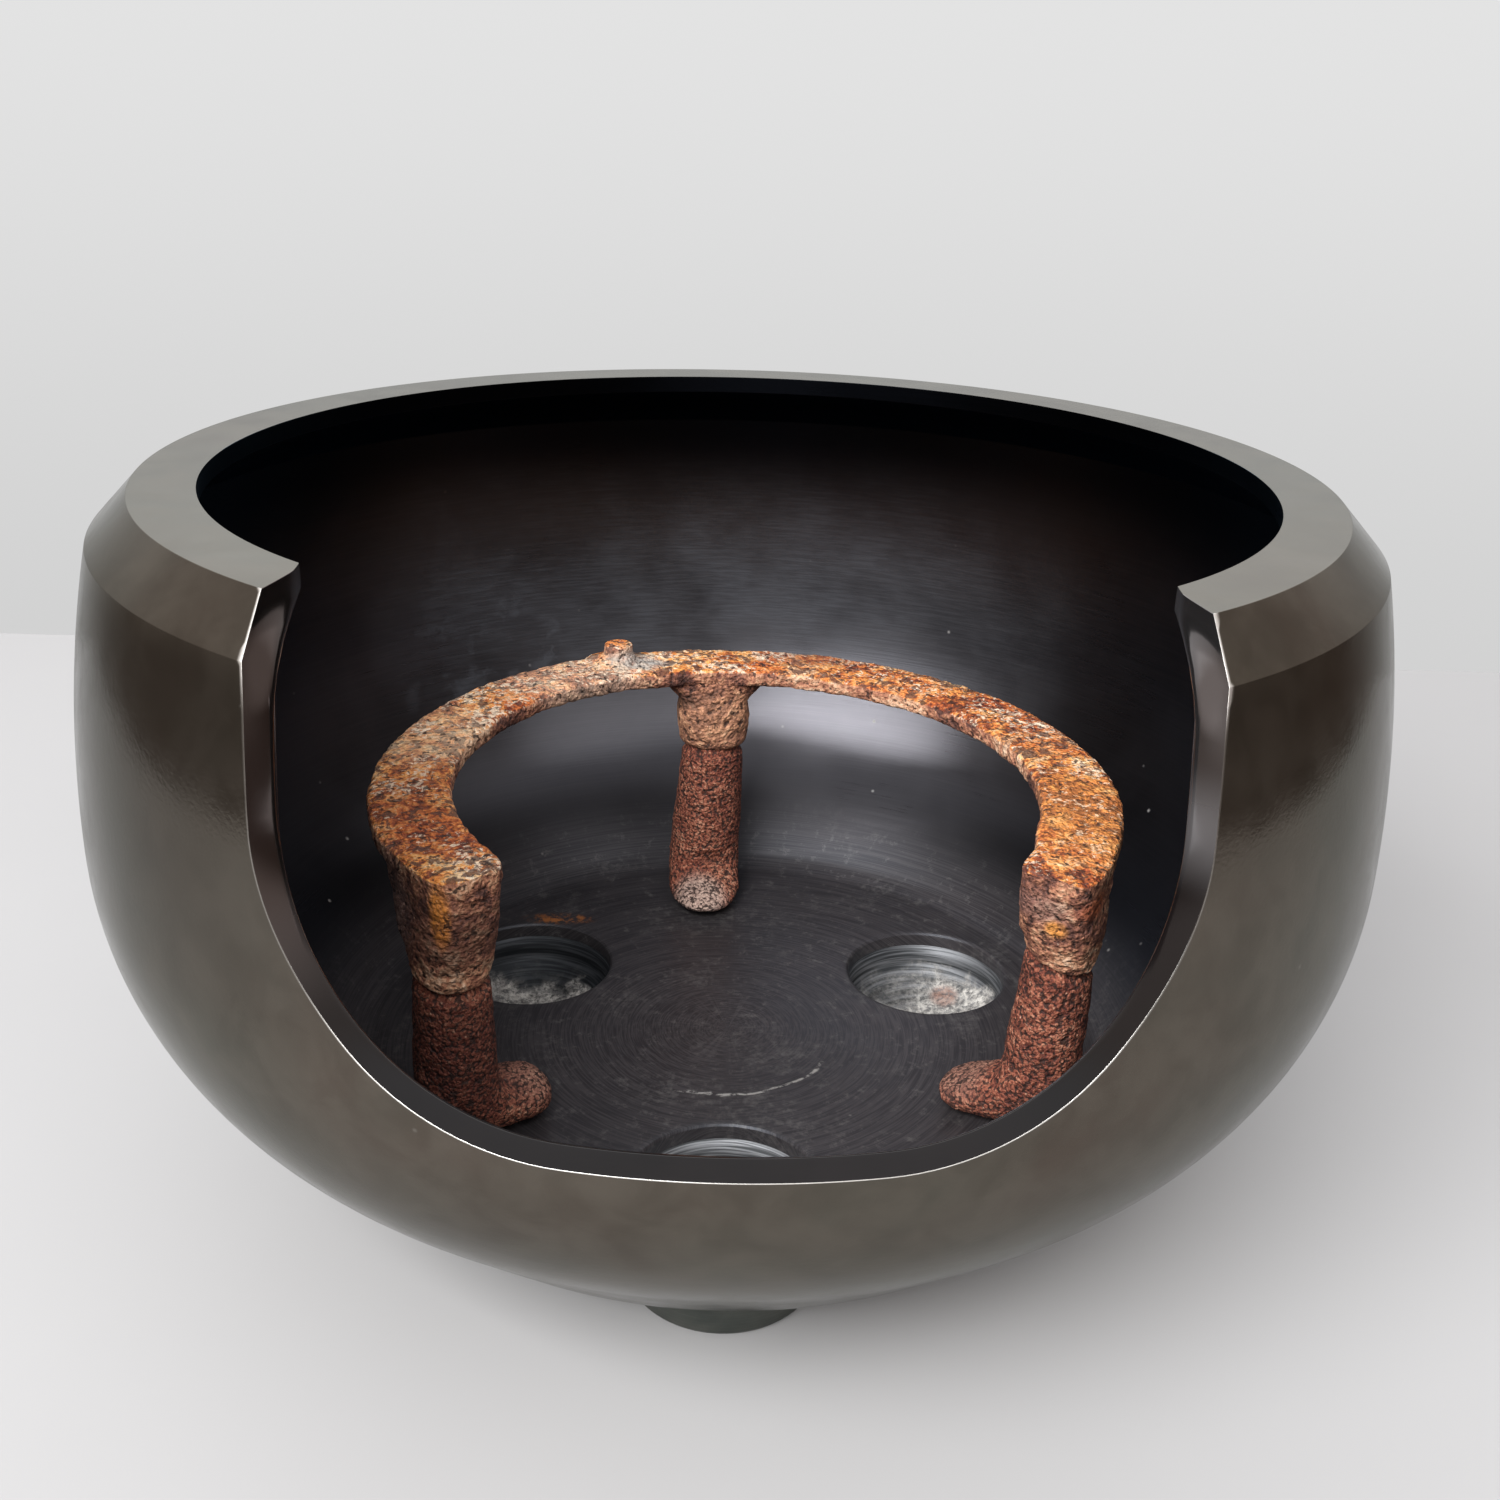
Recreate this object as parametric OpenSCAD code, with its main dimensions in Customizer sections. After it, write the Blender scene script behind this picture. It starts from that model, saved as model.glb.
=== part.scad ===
// Front-cut furo: a cast bowl on three hollow cup feet, with an iron trivet standing inside.
// Millimetres. The ground is z = 0, the bowl's axis is z, and the window faces -y.

/* [Bowl] */
// Greatest outside diameter of the bowl
bowl_d = 333; // [320:1:346]
// Height of the rim above the ground
rim_z = 196; // [188:1:204]
// Height of the greatest diameter above the ground
belly_z = 114; // [110:1:118]
// Radius of the wall's curve above the belly
shoulder_r = 300; // [260:5:340]
// Radius of the wall's curve below the belly
hip_r = 91; // [86:1:96]
// Thickness of the wall and of the floor
wall = 7; // [6:0.5:8]
// Height of the floor inside the bowl, above the ground
floor_z = 27.5; // [26:0.5:30]
// Radius between the flank and the underside, and between the flank and the floor
heel_r = 12; // [6:1:14]

/* [Rim] */
// Width of the flat top of the rim
rim_w = 15.3; // [13:0.1:17]
// Width of the bevel outside the rim
bevel_w = 10; // [8:0.5:12]
// Height of the bevel outside the rim
bevel_h = 10.5; // [8:0.5:13]
// Height of the upright lip inside the rim
lip_h = 5; // [3:0.5:7]
// Height of the slope under the lip
slope_h = 13; // [10:1:18]

/* [Window] */
// Width of the window
window_w = 174; // [160:1:184]
// Height of the window's sill above the ground
sill_z = 100; // [94:1:110]
// Radius of the window's lower corners
window_r = 57; // [40:1:66]

/* [Feet] */
// Distance of each foot's axis from the outside of the bowl at its widest
foot_space = 94.5; // [92.5:0.5:96.5]
// Diameter of a foot on the ground
foot_d = 50; // [46:1:54]
// Diameter of a foot where it is let into the underside
foot_top_d = 58; // [56:0.5:60]
// Diameter of the well above each foot
well_d = 49; // [46:0.5:50]
// Thickness of a foot's bottom
foot_floor = 6; // [4:0.5:8]
// Radius at the bottom of a foot's well
well_r = 10; // [6:1:12]
// Depth of a foot's seat in the underside
seat_depth = 2.5; // [1.5:0.5:3.5]
// Clearance round a foot in its seat
seat_gap = 0.1; // [0.05:0.05:0.2]

/* [Trivet] */
// Height of the trivet from its claws to the tops of its heads
trivet_h = 82.5; // [78:0.5:88]
// Space between the ring and the bowl's wall at its widest
ring_space = 57; // [54:0.5:60]
// Width of the ring
ring_w = 22; // [20:0.5:24]
// Thickness of the ring
ring_t = 6; // [5.5:0.5:8]
// Rounding of the ring's edges
ring_edge = 1.6; // [1:0.1:2.5]
// Angle of the back leg
back_angle = 97; // [85:1:99]
// Angle of the left leg
left_angle = 216; // [205:1:220]
// Angle of the right leg
right_angle = 331; // [325:1:335]
// Offset of the trivet to the right of the bowl's axis
trivet_x = 3.5; // [0:0.5:4]
// Gap between the claws and the floor
stand_gap = 0.3; // [0.3:0.1:0.6]

/* [Legs] */
// Diameter of the head that each socket hangs from
head_d = 24; // [23:0.5:26]
// How far each head stands above the ring
head_rise = 0.3; // [0.2:0.1:1]
// Diameter of a socket's lower end
socket_d = 19.5; // [18:0.5:21]
// Height of the joint between socket and leg, above the claws
joint_h = 50; // [44:1:56]
// Diameter of a leg at its foot
leg_d = 23; // [21:0.5:24]
// Length of a claw from the leg's axis to its tip
claw_l = 28; // [24:1:32]
// Width of a claw
claw_w = 20; // [17:0.5:21]
// Height of a claw at its tip
claw_h = 12; // [10:0.5:15]
// Height by which a claw rises from its tip to the leg
claw_rise = 6; // [3:0.5:9]
// Depth by which a leg's round heel is flattened
heel_flat = 2; // [1:0.5:3]
// Diameter of the tenon on top of a leg
tenon_d = 11; // [9:0.5:12]
// Length of the tenon
tenon_l = 16; // [12:1:18]
// Clearance round the tenon and at its end
tenon_gap = 0.1; // [0.05:0.05:0.2]

/* [Peg] */
// Diameter of the peg on the ring
peg_d = 9.4; // [8:0.1:11]
// Height of the peg above the ring
peg_h = 5.5; // [4:0.5:7]
// Diameter of the peg's shank
shank_d = 5; // [4:0.5:6]
// Length of the peg's shank
shank_l = 5; // [3:0.5:5.5]
// Angle of the peg along the ring
peg_angle = 116; // [113:1:122]

/* [Hidden] */
$fn = 96;
// Reach of the cutting solids past the faces that they cut
over = 20;
bowl_r = bowl_d / 2;
// The flank below the hip is a straight slope at this angle
flank_angle = 45;
under_z = floor_z - wall;
// How far a straight face stands inside the curve that it runs into
blend = 0.05;
bevel_z = rim_z - bevel_h;
shoulder_x = bowl_r - shoulder_r;
hip_x = bowl_r - hip_r;
bevel_r = shoulder_x + sqrt(pow(shoulder_r, 2) - pow(bevel_z - belly_z, 2));
mouth_r = bevel_r - bevel_w - rim_w;
lip_z = rim_z - lip_h;
slope_z = lip_z - slope_h;
slope_r = shoulder_x + sqrt(pow(shoulder_r - wall, 2) - pow(slope_z - belly_z, 2));
foot_pitch = bowl_r - foot_space;
front_angle = 270;
rear_left_angle = 150;
rear_right_angle = 30;
seat_z = under_z + seat_depth;
claw_z = floor_z + stand_gap;
head_z = claw_z + trivet_h;
ring_z = head_z - head_rise;
joint_z = claw_z + joint_h;
ring_r = bowl_r - wall - ring_space;
leg_pitch = ring_r - ring_w / 2;
// How far the ring runs on past the axes of the two front heads, inside them
ring_lap = 2;
heel_z = claw_z + leg_d / 2 - heel_flat;
peg_pitch = ring_r - peg_d / 2 - ring_edge;

// Distance from the axis, at height z, of a flank that lies at distance d from the hip's centre
function flank_x(d, z) = hip_x + (d + (z - belly_z) * sin(flank_angle)) / cos(flank_angle);

// What a rounded corner loses: the sector outside a circle at [x, z], between two angles
module corner_waste(x, z, r, from, to) {
    reach = r + 2 * over;
    corner_reach = reach / cos((to - from) / 2);
    middle = (from + to) / 2;
    translate([x, z]) difference() {
        polygon([[0, 0], reach * [cos(from), sin(from)], corner_reach * [cos(middle), sin(middle)],
            reach * [cos(to), sin(to)]]);
        circle(r = r);
    }
}

// Half of a round section that lies inside the wall's outline moved in by inset.
// The upper points close it above the shoulder.
module wall_region(inset, bottom_z, upper_points) {
    low_r = hip_r - inset;
    flank_d = low_r - blend;
    side_x = bowl_r - inset + over;
    side_z = belly_z + ((side_x - hip_x) * cos(flank_angle) - flank_d) / sin(flank_angle);
    turn_z = bottom_z + heel_r - blend;
    difference() {
        polygon(concat([[0, bottom_z], [flank_x(flank_d, bottom_z), bottom_z], [side_x, side_z]],
            upper_points));
        translate([0, belly_z]) difference() {
            square([bowl_r + 2 * over, rim_z]);
            translate([shoulder_x, 0]) circle(r = shoulder_r - inset);
        }
        corner_waste(hip_x, belly_z, low_r, -flank_angle, 0);
        corner_waste(flank_x(low_r - heel_r, turn_z), turn_z, heel_r, -90, -flank_angle);
    }
}

// The bowl's section with its bevelled rim and the lip that overhangs the inside
module bowl_section() {
    bevel_run = bevel_h / bevel_w;
    slope_run = slope_h / (slope_r - mouth_r);
    outside_x = bowl_r + over;
    inside_x = bowl_r - wall + over;
    difference() {
        wall_region(0, under_z, [[outside_x, bevel_z - (outside_x - bevel_r) * bevel_run],
            [bevel_r - bevel_w, rim_z], [0, rim_z]]);
        wall_region(wall, floor_z, [[inside_x, slope_z - (inside_x - slope_r) * slope_run],
            [mouth_r, lip_z], [mouth_r, rim_z + over], [0, rim_z + over]]);
    }
}

// The window's outline, x across and y up, open at the top
module window_outline() {
    half = window_w / 2;
    top = rim_z + over;
    for (side = [-1, 1])
        translate([side * (half - window_r), sill_z + window_r]) circle(r = window_r);
    translate([-half + window_r, sill_z]) square([2 * (half - window_r), window_r]);
    translate([-half, sill_z + window_r]) square([window_w, top - sill_z - window_r]);
}

module at_foot(angle) {
    rotate([0, 0, angle]) translate([foot_pitch, 0, 0]) children();
}

module bowl() {
    color([0.27, 0.23, 0.2]) difference() {
        rotate_extrude() bowl_section();
        rotate([90, 0, 0]) linear_extrude(height = bowl_r + over) window_outline();
        for (angle = [front_angle, rear_left_angle, rear_right_angle]) at_foot(angle) {
            translate([0, 0, under_z - over]) cylinder(h = over + 2 * wall, d = well_d);
            translate([0, 0, under_z - over])
                cylinder(h = over + seat_depth, d = foot_top_d + 2 * seat_gap);
        }
    }
}

// A cup foot: a cone outside, and a well with a rounded bottom inside
module foot(angle) {
    color([0.16, 0.18, 0.16]) at_foot(angle) difference() {
        cylinder(h = seat_z, d1 = foot_d, d2 = foot_top_d);
        translate([0, 0, foot_floor]) rotate_extrude() {
            translate([0, well_r]) square([well_d / 2, seat_z]);
            square([well_d / 2 - well_r, well_r]);
            intersection() {
                translate([well_d / 2 - well_r, well_r]) circle(r = well_r);
                square([well_d / 2, well_r]);
            }
        }
    }
}

module foot_front() {
    foot(front_angle);
}

module foot_rear_left() {
    foot(rear_left_angle);
}

module foot_rear_right() {
    foot(rear_right_angle);
}

module at_leg(angle) {
    translate([trivet_x, 0, 0]) rotate([0, 0, angle]) translate([leg_pitch, 0, 0]) children();
}

// Section of the ring with rounded edges, standing on y = 0
module ring_section() {
    inner_x = ring_r - ring_w;
    translate([inner_x + ring_edge, 0]) square([ring_w - 2 * ring_edge, ring_t]);
    translate([inner_x, ring_edge]) square([ring_w, ring_t - 2 * ring_edge]);
    for (x = [inner_x + ring_edge, ring_r - ring_edge], y = [ring_edge, ring_t - ring_edge])
        translate([x, y]) circle(r = ring_edge);
}

// The open ring with a tapered socket under each leg's head
module trivet_ring() {
    lap = asin(ring_lap / leg_pitch);
    start = right_angle - 360 - lap;
    sweep = left_angle + lap - start;
    socket_h = ring_z - joint_z - ring_t / 2;
    color([0.6, 0.33, 0.18]) difference() {
        union() {
            translate([trivet_x, 0, ring_z - ring_t]) rotate([0, 0, start])
                rotate_extrude(angle = sweep) ring_section();
            for (angle = [back_angle, left_angle, right_angle]) at_leg(angle) {
                translate([0, 0, joint_z]) cylinder(h = socket_h, d1 = socket_d, d2 = head_d);
                translate([0, 0, ring_z - ring_t]) cylinder(h = ring_t + head_rise, d = head_d);
            }
        }
        for (angle = [back_angle, left_angle, right_angle]) at_leg(angle)
            translate([0, 0, joint_z - over])
                cylinder(h = over + tenon_l + tenon_gap, d = tenon_d + 2 * tenon_gap);
        translate([trivet_x, 0, 0]) rotate([0, 0, peg_angle])
            translate([peg_pitch, 0, ring_z - shank_l - tenon_gap])
                cylinder(h = over, d = shank_d + 2 * tenon_gap);
    }
}

// A claw seen from above, pointing along -x from the leg's axis
module claw_plan() {
    tip_r = claw_w / 2;
    translate([tip_r - claw_l, -tip_r]) square([claw_l - tip_r, claw_w]);
    translate([tip_r - claw_l, 0]) circle(r = tip_r);
}

// A claw seen from its side, its sole on y = 0
module claw_side() {
    tip_r = claw_h / 2;
    tip_x = tip_r - claw_l;
    polygon([[tip_x, 0], [0, 0], [0, claw_h + claw_rise], [tip_x, claw_h]]);
    translate([tip_x, tip_r]) circle(r = tip_r);
}

// A leg: tenon, tapered shank, round heel, and a claw that points at the ring's centre
module trivet_leg(angle) {
    color([0.36, 0.2, 0.15]) at_leg(angle) {
        translate([0, 0, joint_z]) cylinder(h = tenon_l, d = tenon_d);
        translate([0, 0, heel_z]) cylinder(h = joint_z - heel_z, d1 = leg_d, d2 = socket_d);
        intersection() {
            translate([0, 0, heel_z]) sphere(d = leg_d);
            translate([-leg_d, -leg_d, claw_z]) cube([2 * leg_d, 2 * leg_d, leg_d]);
        }
        translate([0, 0, claw_z]) intersection() {
            linear_extrude(height = claw_h + claw_rise) claw_plan();
            rotate([90, 0, 0]) linear_extrude(height = claw_w + over, center = true) claw_side();
        }
    }
}

module trivet_leg_back() {
    trivet_leg(back_angle);
}

module trivet_leg_left() {
    trivet_leg(left_angle);
}

module trivet_leg_right() {
    trivet_leg(right_angle);
}

// The peg on the ring, with a shank let into it
module ring_peg() {
    color([0.55, 0.36, 0.24]) translate([trivet_x, 0, 0]) rotate([0, 0, peg_angle])
        translate([peg_pitch, 0, ring_z]) {
            cylinder(h = peg_h, d = peg_d);
            translate([0, 0, -shank_l]) cylinder(h = shank_l, d = shank_d);
        }
}

bowl();
foot_front();
foot_rear_left();
foot_rear_right();
trivet_ring();
trivet_leg_back();
trivet_leg_left();
trivet_leg_right();
ring_peg();
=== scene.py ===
from functools import partial, reduce

import bmesh
import bpy
import numpy as np
from mathutils import Matrix, Vector


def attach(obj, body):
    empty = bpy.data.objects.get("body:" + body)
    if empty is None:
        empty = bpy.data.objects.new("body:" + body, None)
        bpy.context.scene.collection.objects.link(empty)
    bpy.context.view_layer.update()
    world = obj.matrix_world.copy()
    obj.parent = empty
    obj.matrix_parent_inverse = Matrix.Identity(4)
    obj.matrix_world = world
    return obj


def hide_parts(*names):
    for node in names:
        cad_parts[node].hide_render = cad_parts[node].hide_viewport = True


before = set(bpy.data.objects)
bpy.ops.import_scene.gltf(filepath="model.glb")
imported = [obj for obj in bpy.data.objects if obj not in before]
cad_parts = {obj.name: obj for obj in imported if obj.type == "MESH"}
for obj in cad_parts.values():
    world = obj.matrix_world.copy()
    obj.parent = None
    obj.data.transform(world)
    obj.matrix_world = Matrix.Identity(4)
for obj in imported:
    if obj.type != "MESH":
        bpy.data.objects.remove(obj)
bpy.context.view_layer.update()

# Sizes are in millimetres and angles in degrees here; a mesh is made in metres
MM = 0.001
WELD = 0.0005
AROUND = 97

# The bowl, and the seats of its feet
BOWL_R = 166.46
RIM_Z = 196.0
BELLY_Z = 114.0
SHOULDER_R = 300.0
SHOULDER_X = BOWL_R - SHOULDER_R
HIP_R = 91.0
HIP_X = BOWL_R - HIP_R
WALL = 7.0
FLOOR_Z = 27.5
UNDER_Z = FLOOR_Z - WALL
HEEL_R = 12.0
BEVEL_Z = 185.5
BEVEL_R = 157.86
RIM_TOP_R = 147.86
MOUTH_R = 132.56
LIP_Z = 191.0
SLOPE_Z = 178.0
SHEET_Z = 66.0
FOOT_PITCH = 72.0
FOOT_TURNS = (0.0, 120.0, 240.0)
WELL_R = 24.5
SEAT_R = 29.1
SEAT_Z = 23.0
# How far out and down the round of a well's edge goes, from the floor on
WELL_ROUND = ((1.3, 0.0), (0.7, 0.15), (0.15, 0.7), (0.0, 1.3))

# The window. Its cut face falls back from a crest to its edges outside and inside
WINDOW_HALF = 85.5
WINDOW_R = 55.0
SILL_Z = 101.6
SILL_FALL = 1.9
CORNER_FALL = 2.5
# Half widths of the crest and of the outer edge at heights up the jamb
JAMB_Z = 158.0
CREST_Z, CREST_X = (JAMB_Z, SLOPE_Z, RIM_Z), (WINDOW_HALF, 85.6, 86.4)
EDGE_Z, EDGE_X = (JAMB_Z, SLOPE_Z, BEVEL_Z, RIM_Z), (90.0, 90.2, 90.4, 89.0)
INNER_FALL = 0.3
ROUND_FROM, ROUND_TO = 142.0, 166.0
# Share of the wall at which the crest lies, and shares at which the face has its points
CREST_AT = 0.68
ACROSS = np.array([0.0, 0.05, 0.12, 0.2, 0.3, 0.4, 0.5, 0.6, 0.7, 0.78, 0.86, 0.93, 1.0])
SILL_STEPS, CORNER_STEPS, JAMB_STEPS, ARC_STEPS, SHEET_STEPS = 12, 32, 8, 300, 36
RIM_LEVELS = np.array([181.7, BEVEL_Z, 188.2, LIP_Z, 193.5, RIM_Z])
CUT_WEAR, RIM_WEAR, BEVEL_WEAR = 1.0, 0.6, 0.5

# The feet
SOLE_R = 25.0
SOLE_ROUND = 2.6
SOLE_LOOP_R = 11.0
CONE_R = (25.2, 29.0)
CONE_Z = (3.2, SEAT_Z)
DISH_Z = 17.0
DISH_DEPTH = 10.2

# The trivet
RING_X = 3.5
RING_PITCH = 91.5
RING_HALF = 11.0
RING_Z = 110.0
RING_T = 6.0
CLAW_Z = 27.8
LEG_TURNS = {"back": 97.0, "left": 216.0, "right": 331.0}
JOINT_Z = {"back": 82.0, "left": 76.5, "right": 81.0}
LEG_PITCH = {"back": 91.5, "left": 91.3, "right": 93.4}
RING_ENDS = (-37.8, 226.2)
# Slope of the ring up to the back, at the front and to the left, and height, place and width (the last
# two in radians) of its rise at the back left
TIP_BACK, TIP_FRONT, TIP_LEFT = 0.0125, 0.004, 0.006
RISE_H, RISE_TURN, RISE_WIDTH = 0.9, 2.3, 0.5
LIP_REACH = 9.5
LEG_BEND = 12.5
LEG_IN_SOCKET = 3.4
PEG_TURN = 116.0
PEG_PITCH = 96.2
# Radius and height of the peg's section, from under its collar of crust up to its top
PEG_SECTION = np.array([
    [0.0, -2.0], [6.0, -2.0], [8.6, -1.0], [8.2, -0.2], [7.0, 0.4], [6.0, 0.9], [5.2, 1.6], [4.75, 2.4],
    [4.7, 3.2], [4.72, 4.0], [4.65, 4.7], [4.35, 5.2], [3.7, 5.45], [2.6, 5.5], [1.3, 5.45], [0.0, 5.45]])
# Each socket's half widths out and across at the top and the foot, shift of the top, squareness of the
# top, share of the height over which it narrows, slope of the lip out and across, and bulge
SOCKET_FORM = {
    "back": dict(top=(10.9, 15.6), foot=(10.3, 10.9), shift=(0.0, 0.0), square=3.0, flare=0.3,
                 lip=(0.0, 0.0), bulge=0.9),
    "left": dict(top=(10.3, 17.0), foot=(9.9, 9.8), shift=(0.0, -1.4), square=3.6, flare=1.0,
                 lip=(0.0, -2.4), bulge=0.5),
    "right": dict(top=(9.7, 11.6), foot=(9.3, 9.3), shift=(0.2, -2.2), square=5.2, flare=1.0,
                  lip=(-2.6, 0.4), bulge=0.5),
}
# Each leg's half width at the top and the heel, lean of the shank, reach of the toe, its swing to the
# side, half its height at the heel and the nose, length of the rounded nose, and width of the neck
LEG_FORM = {
    "back": (9.8, 11.8, 0.0, 25.4, 3.4, 7.0, 4.3, 16.0, 0.88),
    "left": (9.5, 10.9, 0.0, 26.4, -0.4, 7.4, 6.0, 8.0, 0.78),
    "right": (8.6, 10.4, -1.6, 29.2, 0.4, 9.6, 4.6, 9.0, 0.84),
}


def smooth(low, high, x):
    """Smooth step from 0 at low to 1 at high."""
    t = np.clip((x - low) / (high - low), 0.0, 1.0)
    return t * t * (3.0 - 2.0 * t)


def lattice(cell, seed):
    """Repeatable value from 0 to 1 at each whole-number point, by mixing its three numbers."""
    i, j, k = (cell[..., n].astype(np.int64) for n in range(3))
    h = (i * 374761393 + j * 668265263 + k * 1440670441 + seed * 974711) & 0xFFFFFFFF
    h = ((h ^ (h >> 13)) * 1274126177) & 0xFFFFFFFF
    h = ((h ^ (h >> 15)) * 668265263) & 0xFFFFFFFF
    return ((h ^ (h >> 16)) & 0xFFFFFF) / 0xFFFFFF


def noise(p, seed):
    """Value noise from -1 to 1: the eight lattice values round a point, blended by smooth steps."""
    base = np.floor(p)
    f = p - base
    w = f * f * (3.0 - 2.0 * f)
    total = np.zeros(p.shape[:-1])
    for corner in np.ndindex(2, 2, 2):
        c = np.array(corner)
        total += np.prod(np.where(c == 1, w, 1.0 - w), axis=-1) * lattice(base + c, seed)
    return 2.0 * total - 1.0


def rough(p, size, octaves, seed):
    """Sum of noises, each half the size and half the height of the one before."""
    total = np.zeros(p.shape[:-1])
    for n in range(octaves):
        total += noise(p * 2.0**n / size + 17.3 * n, seed + n) / 2.0**n
    return total


def cells(p, size, seed):
    """Distance, in cell widths, to the nearest of a set of points scattered one to a cell."""
    q = p / size
    base = np.floor(q)
    near = np.full(q.shape[:-1], 9.0)
    for step in np.ndindex(3, 3, 3):
        cell = base + np.array(step) - 1.0
        spot = cell + np.stack([lattice(cell, seed + n) for n in range(3)], -1)
        near = np.minimum(near, np.linalg.norm(q - spot, axis=-1))
    return near


def grid_quads(rows, columns):
    """Corner numbers of the quads between the points of a grid."""
    i = np.arange(rows * columns).reshape(rows, columns)
    return np.stack([i[:-1, :-1], i[:-1, 1:], i[1:, 1:], i[1:, :-1]], -1).reshape(-1, 4)


def weld(patches):
    """One mesh from (grid of points, finish number, grid of marks): points in one place become one,
    which keeps its greatest mark."""
    points = np.concatenate([p.reshape(-1, 3) for p, _, _ in patches])
    marks = np.concatenate([np.broadcast_to(m, p.shape[:2]).reshape(-1) for p, _, m in patches])
    starts = np.cumsum([0] + [p.shape[0] * p.shape[1] for p, _, _ in patches])
    quads = [grid_quads(*p.shape[:2]) + s for (p, _, _), s in zip(patches, starts)]
    finish = np.concatenate([np.full(len(q), f) for q, (_, f, _) in zip(quads, patches)])
    keys = np.round(points / WELD + 0.37).astype(np.int64)
    _, first, same = np.unique(keys, axis=0, return_index=True, return_inverse=True)
    same = same.reshape(-1)
    mark = np.zeros(len(first))
    np.maximum.at(mark, same, marks)
    quads = same[np.concatenate(quads)]
    a, b, c, d = (points[first][quads[:, n]] for n in range(4))
    volume = np.sum(np.cross(b - a, c - a) * a) + np.sum(np.cross(c - a, d - a) * a)
    if volume < 0:
        quads = quads[:, ::-1]
    return points[first], quads, finish, mark


def outward(points, quads):
    """Mean direction of the faces round each point, from the cross product of each face's diagonals."""
    corners = points[quads]
    across = np.cross(corners[:, 2] - corners[:, 0], corners[:, 3] - corners[:, 1])
    total = np.zeros_like(points)
    np.add.at(total, quads, np.broadcast_to(across[:, None, :], corners.shape))
    return total / np.maximum(np.linalg.norm(total, axis=1), 1e-12)[:, None]


def make_piece(name, mesh_parts, materials, body, node, marks=None):
    """The object of a welded mesh. A quad with two corners in one place becomes a triangle."""
    points, quads, finish, mark = mesh_parts
    whole = np.ones(len(quads), bool)
    faces, numbers = [], []
    for n in range(4):
        pinched = quads[:, n] == quads[:, (n + 1) % 4]
        whole &= ~pinched
        corners = quads[pinched][:, [(n + 1) % 4, (n + 2) % 4, (n + 3) % 4]]
        real = corners[:, 0] != corners[:, 2]
        real &= (corners[:, 0] != corners[:, 1]) & (corners[:, 1] != corners[:, 2])
        faces += corners[real].tolist()
        numbers.append(finish[pinched][real])
    faces = quads[whole].tolist() + faces
    mesh = bpy.data.meshes.new(name)
    mesh.from_pydata((points * MM).tolist(), [], faces)
    numbers = np.concatenate([finish[whole]] + numbers).astype(np.int32)
    mesh.polygons.foreach_set("material_index", numbers)
    for material in materials:
        mesh.materials.append(material)
    for label, values in {"wear": mark, **(marks or {})}.items():
        attribute = mesh.attributes.new(label, "FLOAT", "POINT")
        attribute.data.foreach_set("value", values.astype(np.float32))
    shape = bmesh.new()
    shape.from_mesh(mesh)
    bmesh.ops.recalc_face_normals(shape, faces=shape.faces)
    shape.to_mesh(mesh)
    shape.free()
    mesh.shade_smooth()
    mesh.validate()
    piece = bpy.data.objects.new(name, mesh)
    bpy.context.scene.collection.objects.link(piece)
    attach(piece, body)
    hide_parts(node)
    return piece


def soften_edges(piece, width, angle):
    """Rounds the edges that turn by more than the angle."""
    bevel = piece.modifiers.new("edges", "BEVEL")
    bevel.width = width * MM
    bevel.segments = 3
    bevel.limit_method = "ANGLE"
    bevel.angle_limit = np.radians(angle)
    bevel.harden_normals = True


# The bowl

def wall_radius(z, inset):
    """Radius of the wall moved in by inset: an arc above the belly, a tighter arc below it, then a
    flank at 45 degrees."""
    shoulder = SHOULDER_X + np.sqrt(np.maximum((SHOULDER_R - inset) ** 2 - (z - BELLY_Z) ** 2, 0.0))
    turn = HIP_R - inset
    hip = HIP_X + np.sqrt(np.maximum(turn**2 - (z - BELLY_Z) ** 2, 0.0))
    flank = HIP_X + turn * np.sqrt(2.0) + z - BELLY_Z
    low = BELLY_Z - turn * np.sqrt(0.5)
    return np.where(z >= BELLY_Z, shoulder, np.where(z >= low, hip, flank))


def outer_radius(z):
    """Radius of the outside: the wall, then the straight bevel up to the rim."""
    bevel = BEVEL_R + (RIM_TOP_R - BEVEL_R) * (z - BEVEL_Z) / (RIM_Z - BEVEL_Z)
    return np.where(z > BEVEL_Z, bevel, wall_radius(z, 0.0))


def inner_radius(z):
    """Radius of the inside: the wall, a slope that leaves it gently, then the upright lip."""
    t = np.clip((z - SLOPE_Z) / (LIP_Z - SLOPE_Z), 0.0, 1.0)
    foot = wall_radius(np.asarray(SLOPE_Z), WALL)
    slope = foot + (MOUTH_R - foot) * t**1.35
    return np.where(z > SLOPE_Z, slope, wall_radius(z, WALL))


def turned(r, turn, z):
    """Point at a radius and height, turned about the axis from the front towards the right."""
    r, turn, z = np.broadcast_arrays(r, turn, z)
    return np.stack([r * np.sin(turn), -r * np.cos(turn), z], -1)


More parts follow.
